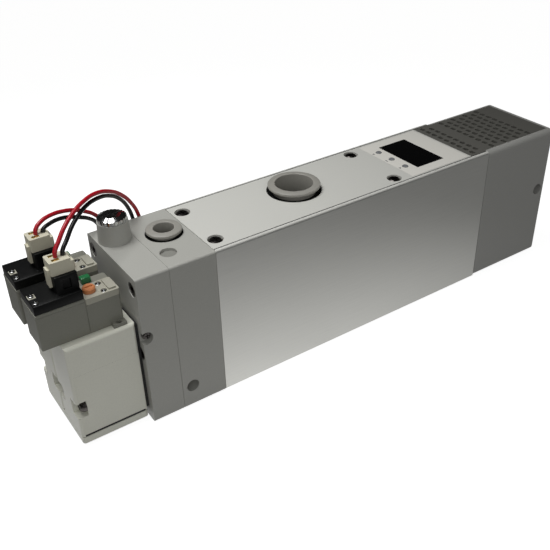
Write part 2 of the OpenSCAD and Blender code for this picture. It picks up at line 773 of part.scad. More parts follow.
module vacuum_sleeve() {
  color([0.08, 0.08, 0.08]) translate([vacuum_x, vacuum_y, 0]) difference() {
    rotate_extrude() sleeve_section(vacuum_tube_d, vacuum_sleeve_d, vacuum_foot, vacuum_seat);
    translate([0, 0, vacuum_foot - cut]) cylinder(h = cut + 1.2, d = filter_d + 3.6);
  }
}

module vacuum_chuck() {
  color([0.7, 0.7, 0.68]) translate([vacuum_x, vacuum_y, 0])
    chuck(vacuum_tube_d, vacuum_sleeve_d, vacuum_seat);
}

module vacuum_release_button() {
  color([0.56, 0.56, 0.54]) translate([vacuum_x, vacuum_y, 0]) rotate_extrude()
    button_section(vacuum_tube_d, vacuum_flange_d, vacuum_proud, vacuum_travel, vacuum_seat);
}

module supply_sleeve() {
  color([0.08, 0.08, 0.08]) translate([supply_x, supply_y, 0])
    rotate_extrude() sleeve_section(supply_tube_d, supply_sleeve_d, supply_foot, supply_seat);
}

module supply_chuck() {
  color([0.7, 0.7, 0.68]) translate([supply_x, supply_y, 0])
    chuck(supply_tube_d, supply_sleeve_d, supply_seat);
}

module supply_release_button() {
  color([0.56, 0.56, 0.54]) translate([supply_x, supply_y, 0]) rotate_extrude()
    button_section(supply_tube_d, supply_flange_d, supply_proud, supply_travel, supply_seat);
}

module fitting_seals() {
  color([0.05, 0.05, 0.05]) {
    translate([vacuum_x, vacuum_y, 0]) lip_seal(vacuum_tube_d, vacuum_seat);
    translate([supply_x, supply_y, 0]) lip_seal(supply_tube_d, supply_seat);
  }
}

module port_plug() {
  color([0.6, 0.6, 0.58])
    bore_z(body_h - plug_depth, body_h - plug_sunk, plug_x, plug_y, plug_d - 2 * fit);
}

// Suction filter: a basket that hangs through the web under the port
module suction_filter() {
  color([0.75, 0.75, 0.7]) translate([vacuum_x, vacuum_y, 0]) difference() {
    union() {
      translate([0, 0, web_z + web_t]) cylinder(h = 1.1, d = filter_d + 3.2);
      translate([0, 0, web_z - 5]) cylinder(h = web_t + 5 + 0.5, d = filter_d);
    }
    translate([0, 0, web_z - 4]) cylinder(h = 12, d = filter_d - 2);
  }
}

// ---------------------------------------------------------------- needle

module needle() {
  r = needle_d / 2;
  low = r - 0.95;
  color([0.75, 0.7, 0.5]) translate([needle_x, needle_y, 0]) difference() {
    rotate_extrude() polygon([
      [0, needle_seat_z - 2], [0.6, needle_seat_z - 2], [low, needle_seat_z + 5],
      [low, needle_chamber_top + 0.5], [r, needle_chamber_top + 1.5], [r, knob_z],
      [spigot_d / 2, knob_z], [spigot_d / 2, knob_z + spigot_h], [0, knob_z + spigot_h]
    ]);
    translate([0, 0, oring_z - oring_r - 0.1]) difference() {
      cylinder(h = 2 * oring_r + 0.2, d = needle_d + 2);
      translate([0, 0, -cut]) cylinder(h = 4, d = needle_d - 2.5);
    }
  }
}

module needle_oring() {
  color([0.05, 0.05, 0.05]) translate([needle_x, needle_y, oring_z]) rotate_extrude()
    translate([needle_d / 2 - oring_r, 0]) circle(oring_r, $fn = 24);
}

module needle_knob() {
  grooves = 24;
  color([0.85, 0.85, 0.86]) translate([needle_x, needle_y, knob_z]) difference() {
    union() {
      cylinder(h = knob_side_h, d = knob_d);
      translate([0, 0, knob_side_h]) cylinder(h = knob_top_h, d1 = knob_d - 0.4, d2 = knob_d * 0.64);
    }
    translate([0, 0, -cut]) cylinder(h = spigot_h + cut + 0.05, d = spigot_d + 2 * run);
    for (i = [0 : grooves - 1]) rotate(i * 360 / grooves)
      translate([knob_d / 2 + 0.1, 0, -cut]) cylinder(h = knob_side_h + 2 * cut, d = 0.8);
    translate([-knob_d, -0.6, knob_side_h + knob_top_h - 0.45]) cube([2 * knob_d, 1.2, 2]);
  }
}

// ---------------------------------------------------------------- ejector stages

// Moulded insert: floor, deck and bulkheads that hold the nozzle and the diffusers
module ejector_insert() {
  z0 = floor_t;
  color([0.2, 0.21, 0.22]) difference() {
    along_y(-insert_w / 2, insert_w) difference() {
      translate([x_body + 0.1, z0]) square([body_l - 6, insert_h]);
      for (i = [0 : 2]) translate([x_body + bulkheads[i][0] + bulkheads[i][1], z0 + insert_floor])
        square([bulkheads[i + 1][0] - bulkheads[i][0] - bulkheads[i][1],
                insert_h - insert_floor - deck_t]);
      translate([x_body + bulkheads[3][0] + bulkheads[3][1], z0 + insert_floor])
        square([body_l, insert_h - insert_floor - deck_t]);
    }
    bore_x(x_body - cut, x_end, 0, nozzle_z, diffuser_od);
    // Entry of the first stage, and the check valve seats of the next two
    bore_z(z0 + insert_h - deck_t - cut, z0 + insert_h + cut, x_body + 17.5, 0, 10);
    for (x = valve_holes) {
      bore_z(z0 + insert_h - deck_t - cut, z0 + insert_h + cut, x_body + x, 0, 2.6);
      for (a = [0 : 60 : 300]) translate([x_body + x, 0, 0]) rotate(a)
        bore_z(z0 + insert_h - deck_t - cut, z0 + insert_h + cut, 4, 0, 2.6);
    }
  }
}

// A turned stage piece along X: collar held in a bulkhead, conical mouth and spreading outlet
module diffuser(i) {
  l = stages[i][1];
  grip = stages[i][2];
  throat = diffuser_d + i * stage_step;
  r = diffuser_od / 2 - fit;
  tube_r = r - 1;
  mouth = (throat / 2 + tube_r) / 2;
  x0 = x_body + stages[i][0];
  color([0.8, 0.8, 0.82]) translate([x0, 0, nozzle_z]) rotate([0, 90, 0]) rotate_extrude() polygon([
    [mouth, 0], [mouth + 0.6, 0], [tube_r, 3], [tube_r, grip - 0.3], [r, grip - 0.3], [r, grip + 7.6],
    [tube_r, grip + 7.6], [tube_r, l - 2], [mouth + 0.6, l], [mouth, l], [throat / 2, l * 0.55],
    [throat / 2, 4]
  ]);
}

module nozzle() {
  r = diffuser_od / 2 - fit;
  color([0.8, 0.7, 0.4]) translate([x_body, 0, nozzle_z]) rotate([0, 90, 0]) rotate_extrude() polygon([
    [gas_d / 2 - 0.5, 0.1], [r, 0.1], [r, 10], [3, 12], [2.2, 17], [nozzle_d, 17],
    [nozzle_d / 2, 14.5], [nozzle_d / 2, 12.5], [gas_d / 2 - 0.5, 6]
  ]);
}

// A rubber umbrella valve under the deck, its stem through the middle hole
module umbrella_valve(x) {
  z = floor_t + insert_h;
  color([0.06, 0.06, 0.06]) translate([x_body + x, 0, z]) rotate_extrude() polygon([
    [0, 1.2], [0.9, 1], [1.9, 0.05], [1.2, 0.05], [1.2, -deck_t - 0.05], [5.6, -deck_t - 0.05],
    [5.6, -deck_t - 0.5], [3, -deck_t - 1.4], [0, -deck_t - 1.9]
  ]);
}

module check_valves() {
  for (x = valve_holes) umbrella_valve(x);
}

// ---------------------------------------------------------------- main valves

module valve_gasket() {
  color([0.06, 0.06, 0.06]) difference() {
    block([valve_right, supply_valve_y - valve_w / 2 + 0.6, valve_floor + 1],
          [x_left, release_valve_y + valve_w / 2 - 0.6, valve_top - 1]);
    for (y = [supply_valve_y, release_valve_y]) {
      bore_x(valve_right - cut, x_left + cut, y + port_in[0], port_in[1], port_d);
      bore_x(valve_right - cut, x_left + cut, y + port_out[0], port_out[1], port_d);
    }
    for (y = valve_screws_at) bore_x(valve_right - cut, x_left + cut, y, valve_screw_z, thread_d + 0.3);
  }
}

// Base plate under both valves, with a step that leaves a dark joint line
module valve_base() {
  y0 = supply_valve_y - valve_w / 2;
  y1 = release_valve_y + valve_w / 2;
  color([0.7, 0.7, 0.66]) difference() {
    union() {
      post_box([valve_left, y0, valve_under], [valve_right, y1, valve_floor - 0.35], 1.2);
      post_box([valve_left + 0.7, y0 + 0.7, valve_floor - cut],
               [valve_right - 0.3, y1 - 0.7, valve_floor], 1);
    }
    for (y = [supply_valve_y, release_valve_y], x = base_screws_x) {
      bore_z(valve_under - cut, valve_floor + cut, x, y, base_screw_d + 0.3);
      bore_z(valve_under - cut, valve_under + base_head_h, x, y, 4.6);
    }
  }
}

// Screws of both valves: two along X and two base screws each, and the side clamp screw
module valve_screws() {
  color([0.3, 0.3, 0.31]) {
    for (y = valve_screws_at) translate([valve_left + pocket_l, y, valve_screw_z]) rotate([0, -90, 0])
      pan_screw(thread_d, valve_l - pocket_l + valve_gap + 5.5, valve_head_d, 2.4);
    for (y = [supply_valve_y, release_valve_y], x = base_screws_x)
      translate([x, y, valve_under + base_head_h]) rotate([180, 0, 0])
        pan_screw(base_screw_d, 5, 4.2, base_head_h - 0.2);
    translate([clamp_x, -body_w / 2 + clamp_depth, clamp_z]) rotate([90, 0, 0])
      pan_screw(clamp_d, clamp_l, 3.6, 1.8);
  }
}

module valve_body(y) {
  y0 = y - valve_w / 2;
  y1 = y + valve_w / 2;
  bore_top = valve_top - 2 - piston_room;
  difference() {
    intersection() {
      post_box([valve_left, y0, valve_floor], [valve_right, y1, valve_top], 1.2);
      along_x(valve_left - cut, valve_l + 2 * cut)
        translate([y, valve_floor - 5]) round_rect(valve_w, valve_top - valve_floor + 5, 1.4);
    }
    // Shallow panel low on each side
    for (s = [-1, 1])
      block([valve_left + 1.3, y + s * valve_w / 2 - 0.4, valve_floor - cut],
            [valve_right + cut, y + s * valve_w / 2 + 0.4, valve_top - 13.3]);
    // Spool bore, piston chamber and pilot port
    bore_z(valve_floor - cut, bore_top + cut, spool_x, y, spool_d + 2 * run);
    bore_z(bore_top, bore_top + piston_room, spool_x, y, piston_d + 2 * run);
    bore_z(bore_top, valve_top + cut, spool_x, y, 2);
    // Inlet and outlet ports
    bore_x(spool_x, valve_right + cut, y + port_in[0], port_in[1], port_d);
    bore_x(spool_x, valve_right + cut, y + port_out[0], port_out[1], port_d);
    // Screws in pockets that are open to the sides
    for (s = [-1, 1]) {
      bore_x(valve_left - cut, valve_right + cut, y + s * valve_screw_y, valve_screw_z, thread_d + 0.3);
      translate([0, y, 0]) scale([1, s, 1])
        block([valve_left - cut, valve_screw_y - valve_head_d / 2 - 0.3, valve_screw_z - pocket_h / 2],
              [valve_left + pocket_l, valve_w / 2 + cut, valve_screw_z + pocket_h / 2]);
    }
    for (x = base_screws_x) bore_z(valve_floor - cut, valve_floor + 4, x, y, base_screw_d + 2 * fit);
    // Threads of the pilot foot screws
    bore_z(valve_top - 3, valve_top + cut, pilot_right - 2.6, y + pilot_shift - pilot_w / 2 - 1.2, 1.6);
  }
}

module supply_valve_body() {
  color([0.74, 0.74, 0.69]) valve_body(supply_valve_y);
}

module release_valve_body() {
  color([0.74, 0.74, 0.69]) valve_body(release_valve_y);
}

// A spool with three lands and a piston on its top
module spool(y) {
  r = spool_d / 2;
  neck = r - 1.8;
  top = piston_top;
  color([0.8, 0.8, 0.8]) translate([spool_x, y, 0]) rotate_extrude() polygon([
    [0, spool_foot], [r, spool_foot], [r, spool_foot + 4], [neck, spool_foot + 4],
    [neck, spool_foot + 11], [r, spool_foot + 11], [r, spool_foot + 15], [neck, spool_foot + 15],
    [neck, spool_foot + 22], [r, spool_foot + 22], [r, spool_foot + 25.5], [neck, spool_foot + 25.5],
    [neck, top - piston_h], [piston_d / 2, top - piston_h], [piston_d / 2, top], [0, top]
  ]);
}

// Ring of points round a path point, for swept tubes
function ring(p, side, up, r, n) = [
  for (i = [0 : n - 1]) p + r * (cos(360 * i / n) * side + sin(360 * i / n) * up)
];

function unit(v) = v / norm(v);

// Faces of a tube of m rings with n sides
function tube_faces(m, n) = concat(
  [[for (i = [0 : n - 1]) i]],
  [for (k = [0 : m - 2], i = [0 : n - 1])
    [k * n + i, (k + 1) * n + i, (k + 1) * n + (i + 1) % n, k * n + (i + 1) % n]],
  [[for (i = [n - 1 : -1 : 0]) (m - 1) * n + i]]
);

// A compression spring: a swept wire with flat-lying end turns
module spring(y) {
  turns = 5;
  steps = 14;
  sides = 6;
  low = valve_floor + spring_wire / 2 + 0.03;
  high = spool_foot - spring_wire / 2 - 0.03;
  count = turns * steps;
  function rise(t) = t < 0.15 ? 0 : t > 0.85 ? 1 : (t - 0.15) / 0.7;
  rings = [for (k = [0 : count])
    let (a = 360 * k / steps, out = [cos(a), sin(a), 0])
      ring([0, 0, low + (high - low) * rise(k / count)] + spring_r * out, out, [0, 0, 1],
           spring_wire / 2, sides)];
  color([0.75, 0.75, 0.77]) translate([spool_x, y, 0])
    polyhedron(points = [for (g = rings, p = g) p], faces = tube_faces(count + 1, sides), convexity = 8);
}

// ---------------------------------------------------------------- pilot valves

module pilot_body(y) {
  near = y - pilot_w / 2;
  foot_w = 2.4;
  color([0.38, 0.38, 0.35]) difference() {
    union() {
      post_box([pilot_left, near, valve_top], [pilot_right, y + pilot_w / 2, pilot_top], 0.8);
      block([pilot_right - 5.2, near - foot_w, valve_top], [pilot_right, near + 1, valve_top + 1.4]);
    }
    // Seat of the cap, bore of the override button and its pilot passage
    block([pilot_right - cap_l, near - cut, pilot_top + cap_proud - cap_t],
          [pilot_right + cut, near + cap_w, pilot_top + cut]);
    bore_z(pilot_top - 5, pilot_top + cut, override_x, y + override_off, override_d + 2 * run);
    bore_z(valve_top - cut, pilot_top - 5 + cut, override_x, y + override_off, 1.6);
    // Parting line between coil housing and valve housing
    for (s = [-1, 1]) block([pilot_right - cap_l - 0.4, y + s * pilot_w / 2 - 0.25, valve_top - cut],
                            [pilot_right - cap_l, y + s * pilot_w / 2 + 0.25, pilot_top + cut]);
    bore_z(valve_top - cut, valve_top + 2, pilot_right - 2.6, near - foot_w / 2, 1.8);
    // Undercut along the foot
    for (s = [-1, 1])
      block([pilot_left - cut, y + s * pilot_w / 2 - 0.3, valve_top - cut],
            [pilot_right - 5.2 + (s > 0 ? 6.2 : 0), y + s * pilot_w / 2 + 0.3, valve_top + 0.4]);
  }
}

module pilot_cap(y) {
  near = y - pilot_w / 2;
  top = pilot_top + cap_proud;
  color([0.78, 0.77, 0.7]) difference() {
    union() {
      post_box([pilot_right - cap_l + fit, near, top - cap_t + fit],
               [pilot_right, near + cap_w - fit, top], 0.6);
      // Small raised pad at the free end
      post_box([pilot_right - 3.6, near + 1, top - cut],
               [pilot_right - 0.8, near + cap_w - 1, top + 0.7], 0.5);
    }
    bore_z(top - cap_t - cut, top + cut, override_x, y + override_off, override_d + 2 * run);
    // Recesses of the two small cap screws
    for (p = cap_screws) bore_z(top - 0.7, top + cut, pilot_right + p[0], near + p[1], 2.4);
  }
}

// Moulded coil with the raised connector socket
module coil(y) {
  x0 = pilot_left + 1;
  color([0.05, 0.05, 0.05]) difference() {
    union() {
      post_box([x0 + 2.2, y - pilot_w / 2 + 0.5, pilot_top],
               [x0 + coil_l, y + pilot_w / 2 - 0.5, pilot_top + coil_h], 1);
      post_box([plug_mid - socket_l / 2, y - socket_w / 2, pilot_top + coil_h - cut],
               [plug_mid + socket_l / 2, y + socket_w / 2, plug_z], 0.8);
    }
    // Slots at the sides of the socket that the latch of the plug takes
    for (s = [-1, 1]) block([plug_mid - 1.5, y + s * socket_w / 2 - 0.8, pilot_top + coil_h + 3],
                            [plug_mid + 1.5, y + s * socket_w / 2 + 0.8, plug_z - 1.6]);
  }
}

// Plug housing of the lead wires, with a latch leg down the end of the socket
module plug(y) {
  x0 = plug_mid - plug_l / 2;
  color([0.82, 0.8, 0.72]) difference() {
    union() {
      post_box([x0, y - plug_w / 2, plug_z], [x0 + plug_l, y + plug_w / 2, plug_z + plug_h], 0.5);
      block([x0 - 0.9, y - 1.6, plug_z - 5], [plug_mid - socket_l / 2 - 0.1, y + 1.6, plug_z + 2]);
    }
    block([x0 + plug_l - 1.2, y - plug_w / 2 - cut, plug_z + plug_h - 1.2],
          [x0 + plug_l + cut, y + plug_w / 2 + cut, plug_z + plug_h + cut]);
  }
}

// Manual override button with a screwdriver slot
module override_button(y) {
  top = pilot_top + cap_proud + 1.9;
  foot = pilot_top - 5 + override_travel + 0.3;
  color([0.78, 0.36, 0.16]) translate([override_x, y + override_off, 0]) difference() {
    union() {
      translate([0, 0, foot]) cylinder(h = top - foot - 0.4, d = override_d);
      translate([0, 0, top - 0.4]) cylinder(h = 0.4, d1 = override_d, d2 = override_d - 0.8);
    }
    translate([-override_d / 2 + 0.7, -0.35, top - 0.6]) cube([override_d - 1.4, 0.7, 1]);
  }
}

// ---------------------------------------------------------------- lead wires

// A tube of 8 sides swept along points, its first and last faces square to the end stretches
module wire(points) {
  m = len(points);
  dirs = [for (k = [0 : m - 1]) unit(points[min(k + 1, m - 1)] - points[max(k - 1, 0)])];
  rings = [for (k = [0 : m - 1])
    let (d = k == 0 ? [0, 0, 1] : dirs[k],
         side = unit(cross(d, [0.31, -0.95, 0.05])), up = cross(d, side))
      ring(points[k], side, up, wire_r, 8)];
  polyhedron(points = [for (g = rings, p = g) p], faces = tube_faces(m, 8), convexity = 8);
}

// ---------------------------------------------------------------- nodes

adapter_block();
supply_block();
ejector_body();
top_plate();
silencer_cover();
silencer_grille();
silencer_core();
gaskets();
plate_screws();
block_screws();
adapter_screws();
end_screws();
display_film();
display_window();
display_module();
setting_key(1);  // key_up
setting_key(0);  // key_set
setting_key(-1);  // key_down
vacuum_sleeve();
vacuum_chuck();
vacuum_release_button();
supply_sleeve();
supply_chuck();
supply_release_button();
fitting_seals();
port_plug();
needle();
needle_oring();
needle_knob();
ejector_insert();
nozzle();
diffuser(0);  // diffuser_1
diffuser(1);  // diffuser_2
diffuser(2);  // diffuser_3
check_valves();
suction_filter();
valve_gasket();
valve_base();
valve_screws();
supply_valve_body();
release_valve_body();
spool(supply_valve_y);  // supply_spool
spool(release_valve_y);  // release_spool
spring(supply_valve_y);  // supply_spring
spring(release_valve_y);  // release_spring
pilot_body(supply_pilot_y);  // supply_pilot_body
pilot_body(release_pilot_y);  // release_pilot_body
pilot_cap(supply_pilot_y);  // supply_pilot_cap
pilot_cap(release_pilot_y);  // release_pilot_cap
coil(supply_pilot_y);  // supply_coil
coil(release_pilot_y);  // release_coil
plug(supply_pilot_y);  // supply_plug
plug(release_pilot_y);  // release_plug
override_button(supply_pilot_y);  // supply_override
override_button(release_pilot_y);  // release_override
color([0.7, 0.05, 0.1]) wire(supply_red_path);  // supply_red_wire
color([0.05, 0.05, 0.05]) wire(supply_black_path);  // supply_black_wire
color([0.7, 0.05, 0.1]) wire(release_red_path);  // release_red_wire
color([0.05, 0.05, 0.05]) wire(release_black_path);  // release_black_wire
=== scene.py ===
"""Looks of the vacuum ejector.

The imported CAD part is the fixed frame. This script gives every CAD node its finish, models the small
pieces that CAD leaves out, lays the four lead wires and sets up the light and the camera.
"""

import json
import logging
import math
from dataclasses import dataclass
from enum import Enum
from typing import Callable, Sequence

import bpy
from mathutils import Matrix, Vector

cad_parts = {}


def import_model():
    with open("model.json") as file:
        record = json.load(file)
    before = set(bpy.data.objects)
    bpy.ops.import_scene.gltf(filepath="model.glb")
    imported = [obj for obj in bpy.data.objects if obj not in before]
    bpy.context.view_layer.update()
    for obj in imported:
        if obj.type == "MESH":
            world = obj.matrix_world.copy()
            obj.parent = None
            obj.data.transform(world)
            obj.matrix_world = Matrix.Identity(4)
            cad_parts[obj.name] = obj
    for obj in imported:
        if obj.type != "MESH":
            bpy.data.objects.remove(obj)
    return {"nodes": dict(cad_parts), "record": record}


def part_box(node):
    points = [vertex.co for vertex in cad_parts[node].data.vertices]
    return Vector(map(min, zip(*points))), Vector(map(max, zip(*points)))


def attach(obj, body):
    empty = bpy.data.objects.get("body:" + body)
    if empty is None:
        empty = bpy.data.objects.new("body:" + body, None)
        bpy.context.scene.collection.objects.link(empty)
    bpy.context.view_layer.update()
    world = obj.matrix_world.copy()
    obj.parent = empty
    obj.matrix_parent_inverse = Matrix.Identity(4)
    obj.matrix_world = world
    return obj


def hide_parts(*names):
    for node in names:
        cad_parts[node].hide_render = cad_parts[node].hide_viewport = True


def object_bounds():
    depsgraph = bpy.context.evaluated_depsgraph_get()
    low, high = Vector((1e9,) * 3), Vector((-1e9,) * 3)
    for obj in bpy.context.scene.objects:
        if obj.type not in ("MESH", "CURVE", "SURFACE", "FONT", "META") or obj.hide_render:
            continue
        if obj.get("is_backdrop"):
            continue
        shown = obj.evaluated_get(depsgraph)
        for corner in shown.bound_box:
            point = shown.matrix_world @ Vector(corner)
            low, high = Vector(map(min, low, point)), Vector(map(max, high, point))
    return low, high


LOG = logging.getLogger("vacuum_ejector")
MM = 0.001

# Noise between the dark and the light patches of a finish
NOISE_LOW = 0.3
NOISE_HIGH = 0.7
# Upward slopes of the normal between which a matt top loses its metal
MATT_SLOPE = (0.3, 0.9)
# How much longer than wide the grain of brushed metal is
BRUSH_STRETCH = 40
# Share of Z in its normal from which a face counts as level
LEVEL = 0.9
# Smallest gap between two faces, in metres
CLEARANCE = 0.01 * MM
# Radius of the bore of each port, in metres
PORT_BORES = {"vacuum": 8.1 * MM, "supply": 4.1 * MM}

Point = tuple[float, float, float]
Colour = tuple[float, float, float]
Span = tuple[float, float]
Socket = bpy.types.NodeSocket
Value = float | tuple[float, ...] | Socket


class Texture(Enum):
    """How a finish varies over its surface."""

    CAST = "cast"
    BRUSHED = "brushed"
    MOULDED = "moulded"
    FOAM = "foam"


def linear(colour: Colour) -> tuple[float, float, float, float]:
    """Turns a display colour into the scene's linear values.

    Args:
        colour: Red, green and blue from 0 to 255, as seen on a screen.

    Returns:
        Linear red, green and blue with an alpha of 1.
    """

    def channel(value: float) -> float:
        share = value / 255
        return share / 12.92 if share <= 0.04045 else ((share + 0.055) / 1.055) ** 2.4

    red, green, blue = (channel(c) for c in colour)
    return (red, green, blue, 1.0)


class Graph:
    """Shader nodes of one material or world.

    Args:
        tree: Tree that holds the nodes.
    """

    def __init__(self, tree: bpy.types.NodeTree) -> None:
        self.nodes, self.links = tree.nodes, tree.links

    def fill(self, node: bpy.types.Node, values: dict[str | int, Value]) -> bpy.types.Node:
        """Sets some inputs of a node, or links them to other nodes.

        Args:
            node: Node to change.
            values: Value of each input, or the socket that gives it, by name or number.

        Returns:
            The same node.
        """
        for key, value in values.items():
            if isinstance(value, Socket):
                self.links.new(value, node.inputs[key])
            else:
                node.inputs[key].default_value = value
        return node

    def add(self, kind: str, values: dict[str | int, Value] | None = None) -> bpy.types.Node:
        """Adds a node.

        Args:
            kind: Type of the node.
            values: Value of each input, or the socket that gives it, by name or number.

        Returns:
            The new node.
        """
        return self.fill(self.nodes.new(kind), values or {})

    def remap(self, value: Socket, source: Span, target: Span) -> Socket:
        """Maps one range of values onto another.

        Args:
            value: Socket with the values.
            source: Lowest and highest value that come in.
            target: Values that they turn into.

        Returns:
            The socket with the mapped values.
        """
        keys = ("From Min", "From Max", "To Min", "To Max")
        limits = dict(zip(keys, (*source, *target)))
        return self.add("ShaderNodeMapRange", {"Value": value, **limits}).outputs["Result"]

    def blend(self, share: Value, first: Value, second: Value) -> Socket:
        """Mixes two values.

        Args:
            share: Share of the second value.
            first: First value.
            second: Second value.

        Returns:
            The socket with the mixed value.
        """
        node = self.add("ShaderNodeMix")
        node.data_type = "FLOAT"
        return self.fill(node, {"Factor": share, 2: first, 3: second}).outputs[0]

    def noise(self, place: Socket, scale: float, detail: float, roughness: float) -> Socket:
        """Adds a noise texture.

        Args:
            place: Socket with the coordinates.
            scale: Scale of the noise.
            detail: Octaves of the noise.
            roughness: Share of the fine octaves.

        Returns:
            The socket with the noise.
        """
        values = {"Vector": place, "Scale": scale, "Detail": detail, "Roughness": roughness}
        return self.add("ShaderNodeTexNoise", values).outputs["Fac"]


@dataclass(frozen=True)
class Finish:
    """A surface finish made of shader nodes only.

    Args:
        name: Name of the material.
        colour: Base colour, as seen on a screen.
        roughness: Mean roughness.
        metallic: Share of metal.
        texture: How the surface varies.
        spread: Relative change of the colour between light and dark patches.
        grain: Size of the grain in metres.
        relief: Height of the grain in metres.
        coat: Weight of a clear coat.
        sheen: Change of the roughness to either side of its mean.
        mirror: Level of the mirror reflection, where 0.5 is that of common plastics.
        matt_top: Whether faces that look up are matt, as sawn and blasted ones are.
        patches: Patches of the broad variation in a metre.
        patch_share: Share of the broad variation in the colour.
        coat_roughness: Roughness of the clear coat.
        bump: Strength of the relief.
    """

    name: str
    colour: Colour
    roughness: float
    metallic: float = 0.0
    texture: Texture = Texture.MOULDED
    spread: float = 0.04
    grain: float = 0.0006
    relief: float = 0.00001
    coat: float = 0.0
    sheen: float = 0.05
    mirror: float = 0.5
    matt_top: bool = False
    patches: float = 14.0
    patch_share: float = 0.35
    coat_roughness: float = 0.12
    bump: float = 0.6

    def build(self) -> bpy.types.Material:
        """Makes the material.

        Returns:
            The finished node material.
        """
        material = bpy.data.materials.new(self.name)
        material.use_nodes = True
        material.diffuse_color = linear(self.colour)
        graph = Graph(material.node_tree)
        place = graph.add("ShaderNodeTexCoord").outputs
        across = 1 / self.grain
        along = across / BRUSH_STRETCH if self.texture is Texture.BRUSHED else across
        values = {"Vector": place["Object"], "Scale": (along, across, across)}
        mapping = graph.add("ShaderNodeMapping", values)
        crumble = 0.7 if self.texture is Texture.FOAM else 0.5
        fine = graph.noise(mapping.outputs["Vector"], 1.0, 3.0, crumble)
        broad = graph.noise(place["Object"], self.patches, 2.0, crumble)
        bump = graph.add("ShaderNodeBump", {"Strength": self.bump, "Distance": self.relief, "Height": fine})
        smoothest, roughest = max(0.02, self.roughness - self.sheen), min(1.0, self.roughness + self.sheen)
        metal = self.metallic
        if self.matt_top:
            upward = graph.add("ShaderNodeSeparateXYZ", {"Vector": place["Normal"]})
            metal = graph.remap(upward.outputs["Z"], MATT_SLOPE, (self.metallic, 0.0))
        graph.fill(graph.nodes["Principled BSDF"], {
            "Base Color": self._tint(graph, graph.blend(self.patch_share, fine, broad)),
            "Roughness": graph.remap(fine, (NOISE_LOW, NOISE_HIGH), (smoothest, roughest)),
            "Metallic": metal,
            "Specular IOR Level": self.mirror,
            "Coat Weight": self.coat,
            "Coat Roughness": self.coat_roughness,
            "Normal": bump.outputs["Normal"],
        })
        return material

    def _tint(self, graph: Graph, tone: Socket) -> Socket:
        """Varies the colour between darker and lighter patches.

        Args:
            graph: Nodes of the material.
            tone: Socket with the noise.

        Returns:
            The socket with the colour.
        """
        ramp = graph.add("ShaderNodeValToRGB", {"Fac": tone})
        base = linear(self.colour)[:3]
        dark, light = ramp.color_ramp.elements
        dark.position, light.position = NOISE_LOW, NOISE_HIGH
        dark.color = tuple(c * (1 - self.spread) for c in base) + (1.0,)
        light.color = tuple(min(1.0, c * (1 + self.spread)) for c in base) + (1.0,)
        return ramp.outputs["Color"]


FINISHES = (
    Finish("block_grey", (172, 172, 166), 0.4, texture=Texture.CAST, grain=0.0005, relief=0.00002),
    Finish("anodised", (205, 205, 200), 0.36, 0.8, Texture.BRUSHED, 0.05, 0.0004, 0.000004, matt_top=True),
    Finish("plate_anodised", (216, 216, 210), 0.42, 0.15, Texture.CAST, 0.03, 0.0004, 0.000006),
    Finish("cover_grey", (164, 164, 160), 0.42),
    Finish("grille_grey", (96, 95, 90), 0.55),
    Finish("foam", (40, 40, 40), 0.95, texture=Texture.FOAM, spread=0.4, grain=0.0008, relief=0.0004),
    Finish("black_rubber", (24, 24, 24), 0.7),
    Finish("steel", (96, 92, 90), 0.3, 1.0, Texture.CAST, 0.08, 0.0003),
    Finish("spring_steel", (175, 175, 172), 0.28, 1.0, Texture.CAST, 0.05, 0.0003),
    Finish("film", (224, 222, 215), 0.4, spread=0.02, grain=0.0003, relief=0.000003),
    Finish("window_black", (4, 4, 5), 0.08, coat=0.6, sheen=0.02, relief=0.000001),
    Finish("black_plastic", (10, 11, 11), 0.42, mirror=0.2),
    Finish("key_grey", (120, 122, 124), 0.5),
    Finish("button_grey", (152, 150, 143), 0.4),
    # plug_grey: darker than the block's grey, painted shade of the blanked plug's deep recess
    Finish("plug_grey", (134, 134, 128), 0.5),
    Finish("brass", (200, 170, 96), 0.32, 1.0, Texture.CAST, 0.06, 0.0004),
    Finish("chrome", (215, 216, 216), 0.14, 1.0, Texture.CAST, 0.04, 0.0003, 0.000002),
    Finish("insert_grey", (96, 98, 100), 0.5),
    Finish("stage_metal", (190, 190, 186), 0.3, 1.0, Texture.BRUSHED, 0.06),
    Finish("filter_white", (222, 222, 214), 0.8, texture=Texture.FOAM, spread=0.1),
    Finish("valve_white", (230, 230, 217), 0.34, spread=0.03),
    Finish("pilot_grey", (130, 130, 120), 0.45),
    Finish("cap_white", (172, 170, 156), 0.45),
    Finish("plug_cream", (206, 202, 182), 0.48),
    Finish("override_orange", (206, 132, 84), 0.42),
    Finish("wire_red", (176, 14, 34), 0.35, spread=0.06),
    Finish("wire_black", (16, 16, 18), 0.38, spread=0.1),
)

TRIM_FINISHES = (
    Finish("tinned_copper", (206, 200, 190), 0.3, 1.0, Texture.CAST, 0.08, 0.0002),
    Finish("lens_green", (46, 120, 74), 0.2, coat=0.5),
    Finish("legend_grey", (88, 90, 94), 0.6),
)


